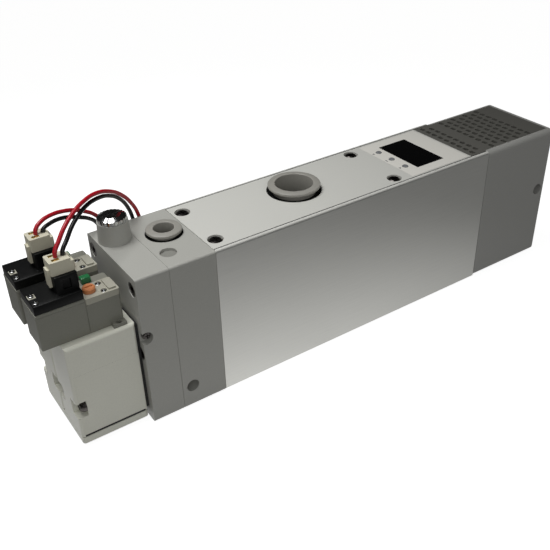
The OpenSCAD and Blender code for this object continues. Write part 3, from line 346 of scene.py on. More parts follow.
class Bench:
    """Modelling steps that several pieces share, each done with Blender's own operators."""

    @staticmethod
    def cylinder(name: str, radius: float, height: float, foot: Point, sides: int = 32) -> bpy.types.Object:
        """Adds an upright cylinder.

        Args:
            name: Name of the new object.
            radius: Radius in metres.
            height: Height in metres.
            foot: Middle of the lower face.
            sides: Number of sides.

        Returns:
            The new object, active and alone selected.
        """
        bpy.ops.object.select_all(action="DESELECT")
        middle = (foot[0], foot[1], foot[2] + height / 2)
        bpy.ops.mesh.primitive_cylinder_add(vertices=sides, radius=radius, depth=height, location=middle)
        return Bench._settle(name)

    @staticmethod
    def box(name: str, low: Point, high: Point) -> bpy.types.Object:
        """Adds a box between two corners.

        Args:
            name: Name of the new object.
            low: Lowest corner.
            high: Highest corner.

        Returns:
            The new object, active and alone selected.
        """
        bpy.ops.object.select_all(action="DESELECT")
        middle = tuple((a + b) / 2 for a, b in zip(low, high))
        bpy.ops.mesh.primitive_cube_add(size=1, location=middle)
        bpy.context.object.scale = tuple(b - a for a, b in zip(low, high))
        return Bench._settle(name)

    @staticmethod
    def _settle(name: str) -> bpy.types.Object:
        """Names the active object and puts its place, turn and scale into its mesh.

        Args:
            name: Name to give.

        Returns:
            The active object.
        """
        obj = bpy.context.object
        obj.name = name
        bpy.ops.object.transform_apply(location=True, rotation=True, scale=True)
        return obj

    @staticmethod
    def edit_faces(obj: bpy.types.Object, wanted: Callable[[bpy.types.MeshPolygon], bool]) -> None:
        """Selects faces and goes into edit mode.

        Args:
            obj: Object to edit.
            wanted: Tells whether a face is to be selected.
        """
        bpy.context.view_layer.objects.active = obj
        for part in (obj.data.vertices, obj.data.edges):
            for item in part:
                item.select = False
        for face in obj.data.polygons:
            face.select = wanted(face)
        bpy.ops.object.mode_set(mode="EDIT")
        bpy.ops.mesh.select_mode(type="FACE")

    @staticmethod
    def done() -> None:
        """Leaves edit mode."""
        bpy.ops.object.mode_set(mode="OBJECT")

    @staticmethod
    def bevel(obj: bpy.types.Object, width: float, segments: int = 2, angle: float = 40) -> None:
        """Rounds the sharp edges.

        Args:
            obj: Object to change.
            width: Width of the rounding in metres.
            segments: Number of steps of the rounding.
            angle: Only edges sharper than this many degrees are rounded.
        """
        modifier = obj.modifiers.new("edges", "BEVEL")
        modifier.width = width
        modifier.segments = segments
        modifier.angle_limit = math.radians(angle)
        modifier.harden_normals = False
        bpy.context.view_layer.objects.active = obj
        bpy.ops.object.modifier_apply(modifier=modifier.name)

    @staticmethod
    def smooth(obj: bpy.types.Object, angle: float = 35) -> None:
        """Shades the object smooth, apart from its sharp edges.

        Args:
            obj: Object to change.
            angle: Edges sharper than this many degrees stay sharp.
        """
        bpy.ops.object.select_all(action="DESELECT")
        obj.select_set(True)
        bpy.context.view_layer.objects.active = obj
        bpy.ops.object.shade_smooth_by_angle(angle=math.radians(angle))

    @staticmethod
    def twin(obj: bpy.types.Object, name: str, shift: Point) -> bpy.types.Object:
        """Copies an object with a mesh of its own.

        Args:
            obj: Object to copy.
            name: Name of the copy.
            shift: How far the copy stands from the first.

        Returns:
            The copy.
        """
        copy = obj.copy()
        copy.data = obj.data.copy()
        copy.name = name
        copy.data.transform(Matrix.Translation(shift))
        bpy.context.collection.objects.link(copy)
        return copy

    @staticmethod
    def split(obj: bpy.types.Object, place: Point, normal: Point) -> None:
        """Splits the faces of an object along a plane.

        Args:
            obj: Object to change.
            place: A point of the plane.
            normal: Normal of the plane.
        """
        Bench.edit_faces(obj, lambda face: True)
        bpy.ops.mesh.bisect(plane_co=place, plane_no=normal)
        Bench.done()

    @staticmethod
    def raise_faces(height: float) -> None:
        """Pulls the selected faces out along Z, in edit mode.

        Args:
            height: How far, in metres; negative goes down.
        """
        bpy.ops.mesh.extrude_region_move(TRANSFORM_OT_translate={"value": (0, 0, height)})

    @staticmethod
    def cut(obj: bpy.types.Object, cutter: bpy.types.Object) -> None:
        """Cuts one object out of another and removes the cutter.

        Args:
            obj: Object to change.
            cutter: Object to cut away.
        """
        modifier = obj.modifiers.new("cut", "BOOLEAN")
        modifier.operation = "DIFFERENCE"
        modifier.object = cutter
        modifier.solver = "EXACT"
        bpy.context.view_layer.objects.active = obj
        bpy.ops.object.modifier_apply(modifier=modifier.name)
        bpy.data.objects.remove(cutter, do_unlink=True)


class Palette:
    """The finishes, each made once.

    Args:
        finishes: Finishes to make.
    """

    def __init__(self, finishes: Sequence[Finish]) -> None:
        self.materials = {finish.name: finish.build() for finish in finishes}

    def dress(self, obj: bpy.types.Object, finish: str) -> None:
        """Gives an object one finish.

        Args:
            obj: Object to dress.
            finish: Name of the finish.
        """
        obj.data.materials.clear()
        obj.data.materials.append(self.materials[finish])

    def fit(self, piece: bpy.types.Object, finish: str, body: str = "housing") -> None:
        """Dresses a new piece and fixes it to a body.

        Args:
            piece: Piece to dress.
            finish: Name of its finish.
            body: Body that the piece moves with.
        """
        self.dress(piece, finish)
        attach(piece, body)


@dataclass(frozen=True)
class LeadWire:
    """A lead wire with its stripped end.

    Args:
        node: CAD node that the wire stands for.
        finish: Finish and material slot of the insulation.
        path: Centreline in millimetres, from the plug to the free end.
        diameter: Outer diameter in millimetres.
        length: Real length in millimetres. Not used.
        stripped: Length of the bare strands at the free end in millimetres.
        core: Radius of the strands, as a share of the diameter.
        tip: Step at the end of the strands, inwards and along, as shares of their radius.
    """

    node: str
    finish: str
    path: tuple[Point, ...]
    diameter: float = 1.6
    length: float = 300.0
    stripped: float = 5.0
    core: float = 0.28
    tip: Span = (0.3, 0.4)

    def build(self, palette: Palette) -> None:
        """Lays the wire.

        Args:
            palette: Finishes of the scene.
        """
        points = [tuple(c * MM for c in p) for p in self.path]
        curve = bpy.data.curves.new(self.node + "_lead", "CURVE")
        curve.dimensions = "3D"
        curve.bevel_depth = self.diameter * MM / 2
        curve.bevel_resolution = 3
        curve.resolution_u = 6
        curve.use_fill_caps = True
        line = curve.splines.new("BEZIER")
        line.bezier_points.add(len(points) - 1)
        for knot, place in zip(line.bezier_points, points):
            knot.co = place
            knot.handle_left_type = "AUTO"
            knot.handle_right_type = "AUTO"
        self._rest_on_floor(line)
        wire = bpy.data.objects.new(self.node + "_lead", curve)
        bpy.context.collection.objects.link(wire)
        curve.materials.append(palette.materials[self.finish])
        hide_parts(self.node)
        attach(wire, "housing")
        strands = self._strands(palette, points[-1])

    def _rest_on_floor(self, line: bpy.types.Spline) -> None:
        """Keeps the stretch that lies on the floor level, so that it dips nowhere below.

        Args:
            line: Line of the lead, with its knots in place.
        """
        knots = line.bezier_points
        lying = self.diameter * MM / 2 + CLEARANCE
        for i, knot in enumerate(knots):
            if knot.co.z > lying:
                continue
            before, after = knots[i - 1], knots[min(i + 1, len(knots) - 1)]
            knot.handle_left_type = "FREE"
            knot.handle_right_type = "FREE"
            back, ahead = (before.co - knot.co) / 3, (after.co - knot.co) / 3
            back.z = ahead.z = 0.0
            knot.handle_left = knot.co + back
            knot.handle_right = knot.co + ahead

    def _strands(self, palette: Palette, end: Point) -> bpy.types.Object:
        """Adds the bare strands at the free end.

        Args:
            palette: Finishes of the scene.
            end: End of the insulation in metres.

        Returns:
            The strands.
        """
        radius = self.diameter * MM * self.core
        bundle = Bench.cylinder(self.node + "_strands", radius, self.stripped * MM, (0, 0, 0), sides=14)
        Bench.edit_faces(bundle, lambda face: face.normal.z > LEVEL)
        bpy.ops.mesh.inset(thickness=radius * self.tip[0])
        Bench.raise_faces(radius * self.tip[1])
        Bench.done()
        turn = Matrix.Translation(end) @ Matrix.Rotation(math.radians(90), 4, "Y")
        bundle.data.transform(turn)
        Bench.smooth(bundle)
        palette.fit(bundle, "tinned_copper")
        return bundle


@dataclass(frozen=True)
class ValveLeads:
    """The two wires of each valve, which run over the adapter block and down behind it."""

    wires: tuple[LeadWire, ...] = (
        LeadWire("supply_red_wire", "wire_red", (
            (-133.3, -7.2, 79), (-133, -7, 81), (-130.6, -5.5, 83.6), (-127, -3, 86.8), (-122, 0.5, 89.2),
            (-116, 4.5, 90.4), (-109, 9.5, 89.4), (-102, 14, 86), (-96.5, 18, 81.2), (-92, 21, 75.4),
            (-88.5, 23.3, 68), (-87, 24.2, 58), (-86.5, 24.5, 30), (-86.2, 24.5, 10), (-84.5, 24.5, 4),
            (-79.5, 24.5, 0.8), (-40, 24.5, 0.8), (0, 24.5, 0.8), (40, 24.5, 0.8), (82.5, 24.5, 0.8),
        )),
        LeadWire("supply_black_wire", "wire_black", (
            (-130.7, -7.2, 79), (-130.3, -7, 80.5), (-127.6, -5, 82.8), (-124, -2.2, 85.8), (-120, 0.8, 87.6),
            (-115.5, 4.6, 88.2), (-109, 9.6, 87.2), (-102.5, 14.8, 84), (-97, 19, 79.2), (-93, 22, 73),
            (-90.6, 24, 65.5), (-89.6, 25, 56), (-89.2, 26, 30), (-88.8, 26.5, 10), (-87, 26.5, 4),
            (-82, 26.5, 0.8), (-40, 26.5, 0.8), (0, 26.5, 0.8), (40, 26.5, 0.8), (85.5, 26.5, 0.8),
        )),
        LeadWire("release_red_wire", "wire_red", (
            (-133.3, 12.2, 79), (-132.9, 12.4, 80.8), (-130.2, 13.6, 82.6), (-125.5, 15.5, 83),
            (-120.5, 17.5, 82), (-115.5, 19.5, 80), (-111, 21.4, 77.2), (-106.5, 23.2, 73.4),
            (-103, 24.6, 68), (-101.4, 25.4, 58), (-100.8, 27, 30), (-100.2, 28.5, 10), (-98.4, 28.5, 4),
            (-93.5, 28.5, 0.8), (-60, 28.5, 0.8), (-20, 28.5, 0.8), (20, 28.5, 0.8), (60, 28.5, 0.8),
            (96, 28.5, 0.8),
        )),
        LeadWire("release_black_wire", "wire_black", (
            (-130.7, 12.2, 79), (-130.2, 12.4, 80), (-127.4, 13.6, 80.7), (-123, 15.4, 80.5),
            (-118.5, 17.2, 79), (-114, 19, 76.6), (-110, 20.8, 74), (-106.4, 22.6, 70), (-104.6, 24, 64),
            (-104, 25, 56), (-103.6, 27.5, 30), (-103, 30.5, 10), (-101.2, 30.5, 4), (-96.5, 30.5, 0.8),
            (-60, 30.5, 0.8), (-20, 30.5, 0.8), (20, 30.5, 0.8), (60, 30.5, 0.8), (100.5, 30.5, 0.8),
        )),
    )

    def build(self, palette: Palette) -> None:
        """Lays the four wires.

        Args:
            palette: Finishes of the scene.
        """
        for wire in self.wires:
            wire.build(palette)
            LOG.info("laid %s", wire.node)


@dataclass(frozen=True)
class CrossScrew:
    """A small pan head screw with a cross recess.

    Args:
        radius: Radius of the head in metres.
        height: Height of the head in metres.
        slot: Width of the recess in metres.
        rounding: Rounding of the edge, as a share of the height.
        reach: Reach of the recess, as a share of the radius.
        depth: Depth of the recess, as a share of the height.
    """

    radius: float = 1.05 * MM
    height: float = 0.55 * MM
    slot: float = 0.36 * MM
    rounding: float = 0.35
    reach: float = 0.62
    depth: float = 0.55

    def build(self, name: str, foot: Point) -> bpy.types.Object:
        """Models the screw.

        Args:
            name: Name of the piece.
            foot: Middle of the seat.

        Returns:
            The screw head.
        """
        head = Bench.cylinder(name, self.radius, self.height, foot, sides=28)
        Bench.bevel(head, self.height * self.rounding, 3)
        reach = self.radius * self.reach
        top = foot[2] + self.height
        low = (foot[0] - self.slot / 2, foot[1] - self.slot / 2, top - self.height * self.depth)
        high = (foot[0] + self.slot / 2, foot[1] + self.slot / 2, top + self.height)
        cross = Bench.box(name + "_cutter", low, high)
        Bench.edit_faces(cross, lambda face: abs(face.normal.z) < 1 - LEVEL)
        bpy.ops.mesh.extrude_faces_move(
            TRANSFORM_OT_shrink_fatten={"value": reach - self.slot / 2, "use_even_offset": False}
        )
        Bench.done()
        Bench.cut(head, cross)
        Bench.smooth(head)
        return head


@dataclass(frozen=True)
class CapTrim:
    """Two screws in the cap of a pilot valve and the lens of the lamp beside it.

    Args:
        valve: Prefix of the valve's nodes.
        screw: Head of the screws.
        screw_back: Distance of the screws from the right face of the cap.
        screw_near: Distance of the near screw from the near face.
        screw_far: Distance of the far screw from the far face.
        screw_seat: Depth of the screws' seats under the top of the cap.
        rise: Height of the cap over the grey top beside it.
        lens_back: Distance of the lens from the right face of the cap.
        lens_gap: Distance of the lens from the far face of the cap.
        lens_size: Length, width and height of the lens.
        lens_rounding: Rounding of its edges.
    """

    valve: str
    screw: CrossScrew = CrossScrew()
    screw_back: float = 5.2 * MM
    screw_near: float = 1.9 * MM
    screw_far: float = 1.85 * MM
    screw_seat: float = 1.4 * MM
    rise: float = 1.6 * MM
    lens_back: float = 6.2 * MM
    lens_gap: float = 1.6 * MM
    lens_size: Point = (3.8 * MM, 2.8 * MM, 2.6 * MM)
    lens_rounding: float = 0.4 * MM

    def build(self, palette: Palette) -> None:
        """Models the pieces.

        Args:
            palette: Finishes of the scene.
        """
        low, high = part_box(self.valve + "_pilot_cap")
        place = (high.x - self.screw_back, low.y + self.screw_near, high.z - self.screw_seat)
        near = self.screw.build(self.valve + "_cap_screw_near", place)
        apart = high.y - self.screw_far - place[1]
        far = Bench.twin(near, self.valve + "_cap_screw_far", (0, apart, 0))
        for piece in (near, far):
            palette.fit(piece, "chrome")
        length, width, height = self.lens_size
        right, front, foot = high.x - self.lens_back, high.y + self.lens_gap, high.z - self.rise
        lens = Bench.box(
            self.valve + "_lamp_lens",
            (right - length, front, foot),
            (right, front + width, foot + height),
        )
        Bench.bevel(lens, self.lens_rounding, 3)
        Bench.smooth(lens)
        palette.fit(lens, "lens_green")


@dataclass(frozen=True)
class CoilCover:
    """Black cover of a coil with its connector socket and terminals, on a grey step.

    Args:
        valve: Prefix of the valve's nodes.
        middle: Y of the pilot's middle in metres.
        half_width: Half of the pilot's width.
        step: Height of the grey step.
        cover: Height of the cover over the step.
        inset: How far the cover stands back from the step.
        socket_half: Half of the socket's width.
        socket_back: Distance of the socket from the right face of the plug.
        socket_length: Length of the socket.
        latch_half: Half of the length of a latch slot.
        latch_depth: Depth of a latch slot.
        latch_foot: Height of a latch slot over the cover.
        latch_top: Distance of a latch slot from the top of the socket.
        screw: Head of the terminal screws.
        screw_left: Distance of the terminal screws from the left face of the pilot.
        screw_pitch: Distance between the terminal screws.
        screw_side: How far the far screw stands before the middle.
        tab_reach: How far the tab reaches from the far screw to the left, front, right and back.
        tab_height: Thickness of the tab.
        roundings: Rounding of the edges of the step, of the cover and of the tab.
    """

    valve: str
    middle: float
    half_width: float = 7.25 * MM
    step: float = 1.3 * MM
    cover: float = 3.7 * MM
    inset: float = 0.2 * MM
    socket_half: float = 4.8 * MM
    socket_back: float = 0.2 * MM
    socket_length: float = 8.4 * MM
    latch_half: float = 1.5 * MM
    latch_depth: float = 0.8 * MM
    latch_foot: float = 1.4 * MM
    latch_top: float = 1.6 * MM
    screw: CrossScrew = CrossScrew()
    screw_left: float = 1.7 * MM
    screw_pitch: float = 4.6 * MM
    screw_side: float = 0.7 * MM
    tab_reach: tuple[float, float, float, float] = (1.2 * MM, 1.4 * MM, 1.5 * MM, 1.4 * MM)
    tab_height: float = 0.3 * MM
    roundings: Point = (0.25 * MM, 0.3 * MM, 0.1 * MM)

    def build(self, palette: Palette) -> None:
        """Models the pieces.

        Args:
            palette: Finishes of the scene.
        """
        low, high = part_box(self.valve + "_pilot_body")
        left, foot = low.x, high.z + self.step
        self._step(palette, left, foot)
        self._cover(palette, left, foot)
        self._terminals(palette, left, foot + self.cover)

    def _step(self, palette: Palette, left: float, top: float) -> None:
        """Models the grey step.

        Args:
            palette: Finishes of the scene.
            left: Left end of the pilot.
            top: Height of the step's top.
        """
        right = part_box(self.valve + "_coil")[1].x
        step = Bench.box(
            self.valve + "_coil_step",
            (left, self.middle - self.half_width, top - self.step),
            (right, self.middle + self.half_width, top),
        )
        Bench.bevel(step, self.roundings[0], 2)
        Bench.smooth(step)
        palette.fit(step, "pilot_grey")

    def _cover(self, palette: Palette, left: float, foot: float) -> None:
        """Models the cover with its socket.

        Args:
            palette: Finishes of the scene.
            left: Left end of the pilot.
            foot: Height of the cover's foot.
        """
        coil_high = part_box(self.valve + "_coil")[1]
        half, top = self.half_width - self.inset, foot + self.cover
        cover = Bench.box(
            self.valve + "_coil_cover",
            (left + self.inset, self.middle - half, foot),
            (coil_high.x, self.middle + half, top),
        )
        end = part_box(self.valve + "_plug")[1].x - self.socket_back
        start = end - self.socket_length
        for x in (start, end):
            Bench.split(cover, (x, 0, 0), (1, 0, 0))
        for side in (-1, 1):
            Bench.split(cover, (0, self.middle + side * self.socket_half, 0), (0, 1, 0))

        def under_socket(face: bpy.types.MeshPolygon) -> bool:
            across = abs(face.center.y - self.middle) < self.socket_half
            return face.normal.z > LEVEL and start < face.center.x < end and across

        Bench.edit_faces(cover, under_socket)
        Bench.raise_faces(coil_high.z - top)
        Bench.done()
        x = (start + end) / 2
        for side in (-1, 1):
            y = self.middle + side * self.socket_half
            slot = Bench.box(
                "latch_cutter",
                (x - self.latch_half, y - self.latch_depth, top + self.latch_foot),
                (x + self.latch_half, y + self.latch_depth, coil_high.z - self.latch_top),
            )
            Bench.cut(cover, slot)
        Bench.bevel(cover, self.roundings[1], 3)
        Bench.smooth(cover)
        palette.fit(cover, "black_plastic")
        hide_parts(self.valve + "_coil")

    def _terminals(self, palette: Palette, left: float, top: float) -> None:
        """Adds the terminal tab and the two screws at the free end of the cover.

        Args:
            palette: Finishes of the scene.
            left: Left end of the pilot.
            top: Height of the cover's top.
        """
        x, y = left + self.screw_left, self.middle - self.screw_side
        to_left, to_front, to_right, to_back = self.tab_reach
        tab = Bench.box(
            self.valve + "_terminal_tab",
            (x - to_left, y - to_front, top),
            (x + to_right, y + to_back, top + self.tab_height),
        )
        Bench.bevel(tab, self.roundings[2], 2)
        Bench.smooth(tab)
        palette.fit(tab, "cap_white")
        near = self.screw.build(self.valve + "_coil_screw_near", (x, y - self.screw_pitch, top))
        far = Bench.twin(near, self.valve + "_coil_screw_far", (0, self.screw_pitch, self.tab_height))
        for piece in (near, far):
            palette.fit(piece, "chrome")


@dataclass(frozen=True)
class PlugContacts:
    """The two contacts that show in the top of a plug.

    Args:
        valve: Prefix of the valve's nodes.
        middle: Y of the plug's middle in metres.
        length: Length of a contact.
        width: Width of a contact.
        height: How far a contact shows.
        back: Distance of the contacts from the right face of the plug.
        side: How far the near contact starts before the middle.
        pitch: Distance between the contacts.
        rounding: Rounding of their edges.
    """

    valve: str
    middle: float
    length: float = 2.8 * MM
    width: float = 1.3 * MM
    height: float = 0.15 * MM
    back: float = 4.6 * MM
    side: float = 2.3 * MM
    pitch: float = 3.3 * MM
    rounding: float = 0.06 * MM

    def build(self, palette: Palette) -> None:
        """Models the contacts.

        Args:
            palette: Finishes of the scene.
        """
        plug_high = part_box(self.valve + "_plug")[1]
        right, front = plug_high.x - self.back, self.middle - self.side
        near = Bench.box(
            self.valve + "_contact_near",
            (right - self.length, front, plug_high.z),
            (right, front + self.width, plug_high.z + self.height),
        )
        Bench.bevel(near, self.rounding, 2)
        far = Bench.twin(near, self.valve + "_contact_far", (0, self.pitch, 0))
        for piece in (near, far):
            palette.fit(piece, "brass")


@dataclass(frozen=True)
class PortButton:
    """Release button of a push-in fitting: a ring with a rounded flange on a thin stem.

    Args:
        node: CAD node that it stands for.
        body: Body that it moves with.
        bore: Radius of its bore in metres.
        wall: Thickness of its stem.
        flange: Thickness of its flange.
        crown: Rise of its top towards the bore.
        lip: Width of its flat lip round the bore.
        rounding: Rounding of its edges.
        sides: Number of sides of its circles.
    """

    node: str
    body: str
    bore: float
    wall: float = 1.2 * MM
    flange: float = 1.5 * MM
    crown: float = 0.35 * MM
    lip: float = 0.9 * MM
    rounding: float = 0.3 * MM
    sides: int = 72

    def build(self, palette: Palette) -> None:
        """Models the button.

        Args:
            palette: Finishes of the scene.
        """
        low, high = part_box(self.node)
        x, y = (low.x + high.x) / 2, (low.y + high.y) / 2
        radius = (high.x - low.x) / 2
        under = high.z - self.flange
        foot, thick = (x, y, under), self.flange - self.crown
        ring = Bench.cylinder(self.node + "_ring", radius, thick, foot, self.sides)
        Bench.edit_faces(ring, lambda face: face.normal.z > LEVEL)
        bpy.ops.mesh.inset(thickness=radius - self.bore - self.lip)
        bpy.ops.transform.translate(value=(0, 0, self.crown))
        Bench.done()
        Bench.edit_faces(ring, lambda face: face.normal.z < -LEVEL)
        bpy.ops.mesh.inset(thickness=radius - self.bore - self.wall)
        Bench.raise_faces(low.z - under)
        Bench.done()
        past = 2 * MM
        height = high.z - low.z + 2 * past
        Bench.cut(ring, Bench.cylinder("bore_cutter", self.bore, height, (x, y, low.z - past), self.sides))
        Bench.bevel(ring, self.rounding, 3, angle=30)
        Bench.smooth(ring, angle=40)
        palette.fit(ring, "button_grey", body=self.body)
        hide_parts(self.node)


@dataclass(frozen=True)
class BaseGapShade:
    """Thin black strip in the gap between the valves and their base plate, painted shade of that gap.

    Args:
        thickness: Thickness in metres.
        inset: How far its edge stands back from the base plate.
        corner: Rounding of its corners.
    """

    thickness: float = 0.33 * MM
    inset: float = 0.35 * MM
    corner: float = 0.8 * MM

    def build(self, palette: Palette) -> None:
        """Models the black strip.

        Args:
            palette: Finishes of the scene.
        """
        low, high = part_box("valve_base")
        # painted shade: the black strip stands in for the shadow in the gap under the valves
        gap_shade = Bench.box(
            "base_gap_shade",
            (low.x + self.inset, low.y + self.inset, high.z - self.thickness),
            (high.x - self.inset, high.y - self.inset, high.z - CLEARANCE),
        )
        Bench.edit_faces(gap_shade, lambda face: abs(face.normal.z) < 1 - LEVEL)
        bpy.ops.mesh.bevel(offset=self.corner, segments=3)
        Bench.done()
        palette.fit(gap_shade, "black_rubber")


@dataclass(frozen=True)
class PlateGapShade:
    """Black strips in the gaps between the top plate and the rims of the body, painted shade of those gaps.

    Args:
        gap: Width of a gap in metres.
        depth: How far a strip lies under the top of the plate.
        rounding: Rounding of its edges.
    """

    gap: float = 0.5 * MM
    depth: float = 0.03 * MM
    rounding: float = 0.04 * MM

    def build(self, palette: Palette) -> None:
        """Models the strips.

        Args:
            palette: Finishes of the scene.
        """
        low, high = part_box("top_plate")
        # painted shade: black strips stand in for the shadow in the gaps along the plate's near and far edges
        strip = Bench.box(
            "plate_gap_shade_near",
            (low.x + self.gap, low.y - self.gap + CLEARANCE, low.z + self.depth),
            (high.x - self.gap, low.y - CLEARANCE, high.z - self.depth),
        )
        Bench.bevel(strip, self.rounding, 2)
        Bench.smooth(strip)
        far = Bench.twin(strip, "plate_gap_shade_far", (0, high.y - low.y + self.gap, 0))
        for piece in (strip, far):
            palette.fit(piece, "black_rubber")


@dataclass(frozen=True)
class PanelLedgeShade:
    """Dark line under the upper edge of the shallow panel on a valve's outer side, painted shade under the
    panel's ledge.

    Args:
        valve: Name of the valve, "supply" or "release".
        side: Side of the panel, -1 or 1 along Y.
        top: Height of the panel's upper edge in metres.
        height: Height of the line.
        front: Depth of the line's front under the valve's side.
        back: Depth of its back, just inside the panel.
        left_gap: Distance of the line from the left face of the valve.
        right_gap: Distance of the line from the right face.
        rounding: Rounding of its edges.
    """

    valve: str
    side: int
    top: float = 34.7 * MM
    height: float = 0.3 * MM
    front: float = 0.3 * MM
    back: float = 0.42 * MM
    left_gap: float = 1.4 * MM
    right_gap: float = 0.1 * MM
    rounding: float = 0.03 * MM

    def build(self, palette: Palette) -> None:
        """Models the line.

        Args:
            palette: Finishes of the scene.
        """
        low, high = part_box(self.valve + "_valve_body")
        face = low.y if self.side < 0 else high.y
        near, far = sorted(face - self.side * depth for depth in (self.front, self.back))
        # painted shade: a dark strip where the panel's ledge casts its shadow
        line = Bench.box(
            self.valve + "_panel_ledge_shade",
            (low.x + self.left_gap, near, self.top - self.height),
            (high.x - self.right_gap, far, self.top),
        )
        Bench.bevel(line, self.rounding, 1)
        palette.fit(line, "pilot_grey")


@dataclass(frozen=True)
class KeyLegends:
    """Plain marks beside the three keys: two arrows and a bar.

    Args:
        size: Size of a mark in metres.
        thickness: Thickness of the print in metres.
        beside: Distance of a mark from the middle of its key.
        slim: Width of the bar, as a share of the size.
    """

    size: float = 1.5 * MM
    thickness: float = 0.02 * MM
    beside: float = 3 * MM
    slim: float = 0.3

    def build(self, palette: Palette) -> None:
        """Models the marks.

        Args:
            palette: Finishes of the scene.
        """
        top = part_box("display_film")[1].z
        for node, turn in (("key_up", 90.0), ("key_down", -90.0), ("key_set", None)):
            low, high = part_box(node)
            x, y = (low.x + high.x) / 2 - self.beside, (low.y + high.y) / 2
            if turn is None:
                wide, long = self.size * self.slim / 2, self.size / 2
                corner = (x + wide, y + long, top + self.thickness)
                mark = Bench.box(node + "_mark", (x - wide, y - long, top), corner)
            else:
                mark = Bench.cylinder(node + "_mark", self.size / 2, self.thickness, (0, 0, 0), sides=3)
                spin = Matrix.Rotation(math.radians(turn), 4, "Z")
                mark.data.transform(Matrix.Translation((x, y, top)) @ spin)
            Bench.bevel(mark, self.thickness / 4, 1)
            palette.fit(mark, "legend_grey")


@dataclass(frozen=True)
class Camera:
    """Where the viewer stands.

    Args:
        place: Place in metres.
        azimuth: Direction of view from +X, in degrees.
        elevation: Direction of view over the horizon, in degrees.
        roll: Turn about the line of view, in degrees.
        lens: Focal length in millimetres.
        sensor: Width of the sensor in millimetres.
        clip: Nearest and furthest distance that it sees.
    """

    place: Point = (-0.19632, -0.24093, 0.22054)
    azimuth: float = 56.69
    elevation: float = -33.38
    roll: float = -1.67
    lens: float = 51.16
    sensor: float = 36
    clip: Span = (0.01, 20)

    def build(self) -> None:
        """Sets up the camera."""
        data = bpy.data.cameras.new("camera")
        data.lens = self.lens
        data.sensor_width = self.sensor
        data.clip_start, data.clip_end = self.clip
        camera = bpy.data.objects.new("camera", data)
        bpy.context.collection.objects.link(camera)
        azimuth, elevation = math.radians(self.azimuth), math.radians(self.elevation)
        flat = math.cos(elevation)
        ahead = Vector((flat * math.cos(azimuth), flat * math.sin(azimuth), math.sin(elevation)))
        turn = ahead.to_track_quat("-Z", "Y").to_matrix()
        camera.matrix_world = (
            Matrix.Translation(self.place)
            @ (turn @ Matrix.Rotation(math.radians(self.roll), 3, "Z")).to_4x4()
        )
        bpy.context.scene.camera = camera


@dataclass(frozen=True)
class SoftLight:
    """A soft area light.

    Args:
        name: Name of the light.
        place: Where it hangs, in metres.
        target: What it points at.
        size: Width and height in metres.
        power: Power in watts.
        spread: Opening of its beam in degrees.
    """

    name: str
    place: Point
    target: Point
    size: Span
    power: float
    spread: float = 180.0

    def build(self) -> None:
        """Hangs the light."""
        data = bpy.data.lights.new(self.name, "AREA")
        data.shape = "RECTANGLE"
        data.size, data.size_y = self.size
        data.energy = self.power
        data.spread = math.radians(self.spread)
        lamp = bpy.data.objects.new(self.name, data)
        bpy.context.collection.objects.link(lamp)
        beam = Vector(self.target) - Vector(self.place)
        turn = beam.to_track_quat("-Z", "Y").to_matrix().to_4x4()
        lamp.matrix_world = Matrix.Translation(self.place) @ turn


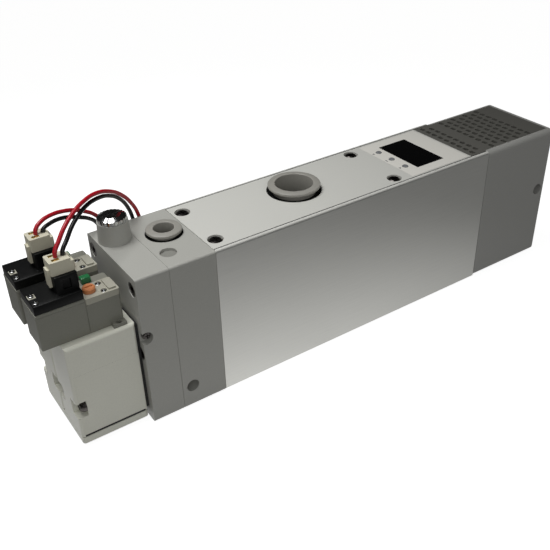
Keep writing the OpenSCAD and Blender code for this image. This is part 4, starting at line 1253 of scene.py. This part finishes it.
@dataclass(frozen=True)
class Studio:
    """Pale floor, even sky, soft lights and a painted pool of light that the floor shows in reflections.

    Args:
        sky: Strength of the even light.
        sky_mirrored: Strength of the even light in reflections.
        sky_tint: Colour of the even light.
        floor_size: Side of the floor in metres.
        floor_gap: How far the floor lies under the object.
        floor_seen: Brightness of the floor as the camera sees it.
        floor_lift: Light that the floor adds on its own for the camera.
        floor_bounce: Brightness of the floor for the light that it throws back.
        pool: Middle of the painted pool of light, the brightest place of the floor in reflections.
        pool_reach: Distances from there, along X and along Y, at which it has dimmed.
        pool_glow: Brightness of the painted pool of light in reflections, there and far away.
        lights: Soft lights of the studio.
    """

    sky: float = 0.2
    sky_mirrored: float = 0.01
    sky_tint: Point = (1, 1, 0.985)
    floor_size: float = 8
    floor_gap: float = 0.2 * MM
    floor_seen: float = 0.5
    floor_lift: float = 0.88
    floor_bounce: float = 0.3
    pool: Span = (-0.07, -0.015)
    pool_reach: Span = (0.22, 0.12)
    pool_glow: Span = (1.1, 0.2)
    lights: tuple[SoftLight, ...] = (
        SoftLight("key", (-0.17, 0.1, 0.5), (-0.1, 0.0, 0.068), (0.25, 0.25), 0.31, 70.0),
        SoftLight("fill", (-0.3, -0.7, 0.45), (0.0, 0.0, 0.03), (0.5, 0.5), 1.2),
    )

    def build(self) -> None:
        """Builds the stage."""
        scene = bpy.context.scene
        scene.view_settings.view_transform = "Standard"
        self._sky(scene)
        self._floor()
        for light in self.lights:
            light.build()

    def _sky(self, scene: bpy.types.Scene) -> None:
        """Sets the even light: white to the camera and softer to the object.

        Args:
            scene: Scene to light.
        """
        world = bpy.data.worlds.new("studio")
        world.use_nodes = True
        graph = Graph(world.node_tree)
        graph.nodes.clear()
        path = graph.add("ShaderNodeLightPath")
        strength = graph.blend(path.outputs["Is Glossy Ray"], self.sky, self.sky_mirrored)
        light = graph.add("ShaderNodeBackground", {"Color": (*self.sky_tint, 1), "Strength": strength})
        seen = graph.add("ShaderNodeBackground", {"Color": (1, 1, 1, 1)})
        camera = path.outputs["Is Camera Ray"]
        mix = graph.add("ShaderNodeMixShader", {"Fac": camera, 1: light.outputs[0], 2: seen.outputs[0]})
        graph.add("ShaderNodeOutputWorld", {"Surface": mix.outputs[0]})
        scene.world = world

    def _floor(self) -> None:
        """Lays the floor."""
        bpy.ops.object.select_all(action="DESELECT")
        bpy.ops.mesh.primitive_plane_add(size=self.floor_size, location=(0, 0, -self.floor_gap))
        floor = bpy.context.object
        floor.name = "floor"
        material = bpy.data.materials.new("floor")
        material.use_nodes = True
        graph = Graph(material.node_tree)
        path = graph.add("ShaderNodeLightPath")
        camera, glossy = path.outputs["Is Camera Ray"], path.outputs["Is Glossy Ray"]
        thrown = graph.blend(glossy, self.floor_bounce, 0.0)
        # painted pool of light: the floor glows for reflected rays only, brighter near the pool's middle
        glow = graph.blend(glossy, 0.0, self._painted_pool(graph))
        graph.fill(graph.nodes["Principled BSDF"], {
            "Base Color": graph.blend(camera, thrown, self.floor_seen),
            "Roughness": 1.0,
            "Specular IOR Level": 0.0,
            "Emission Color": (1, 1, 1, 1),
            "Emission Strength": graph.blend(camera, glow, self.floor_lift),
        })
        floor.data.materials.append(material)
        floor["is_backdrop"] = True

    def _painted_pool(self, graph: Graph) -> Socket:
        """Painted pool of light: the floor glows in reflections, brightest at its middle and dimming away
        from it.

        Args:
            graph: Nodes of the floor's material.

        Returns:
            The socket with the brightness.
        """
        place = graph.add("ShaderNodeTexCoord")
        across, along = (1 / reach for reach in self.pool_reach)
        oval = graph.add("ShaderNodeMapping", {
            "Vector": place.outputs["Object"],
            "Scale": (across, along, 0.0),
            "Location": (-self.pool[0] * across, -self.pool[1] * along, 0.0),
        })
        far = graph.add("ShaderNodeVectorMath", {0: oval.outputs["Vector"]})
        far.operation = "LENGTH"
        return graph.remap(far.outputs["Value"], (0.0, 1.0), self.pool_glow)


def dress_nodes(frame: dict, palette: Palette) -> None:
    """Gives every CAD node the finish of its material slot.

    Args:
        palette: Finishes of the scene.
    """
    for part in frame["record"]["subparts"]:
        palette.dress(frame["nodes"][part["node"]], part["material_slot"])


def trim_pieces() -> list:
    """Lists the pieces that this script adds to the CAD nodes.

    Returns:
        The sub-assemblies in the order in which they are built.
    """
    pieces = []
    for valve in ("supply", "release"):
        low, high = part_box(valve + "_coil")
        middle = (low.y + high.y) / 2
        pieces += [CapTrim(valve), CoilCover(valve, middle), PlugContacts(valve, middle)]
    for port, bore in PORT_BORES.items():
        pieces.append(PortButton(port + "_release_button", port + "_button", bore))
    edges = [PanelLedgeShade("supply", -1), PanelLedgeShade("release", 1)]
    return pieces + [BaseGapShade(), PlateGapShade(), *edges, KeyLegends()]


def main(frame: dict, cad_size: tuple[Vector, Vector]) -> None:
    """Builds the scene.

    Args:
        cad_size: Corners of the CAD part. Not used.
    """
    logging.basicConfig(level=logging.INFO, format="%(name)s: %(message)s")
    palette = Palette(FINISHES + TRIM_FINISHES)
    Camera().build()
    LOG.info("placed the camera")
    ValveLeads().build(palette)
    dress_nodes(frame, palette)
    LOG.info("gave the CAD nodes their finishes")
    for piece in trim_pieces():
        piece.build(palette)
        LOG.info("built the %s", type(piece).__name__)
    Studio().build()
    LOG.info("built the stage")


if __name__ == "__main__":
    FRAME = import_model()
    main(FRAME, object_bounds())
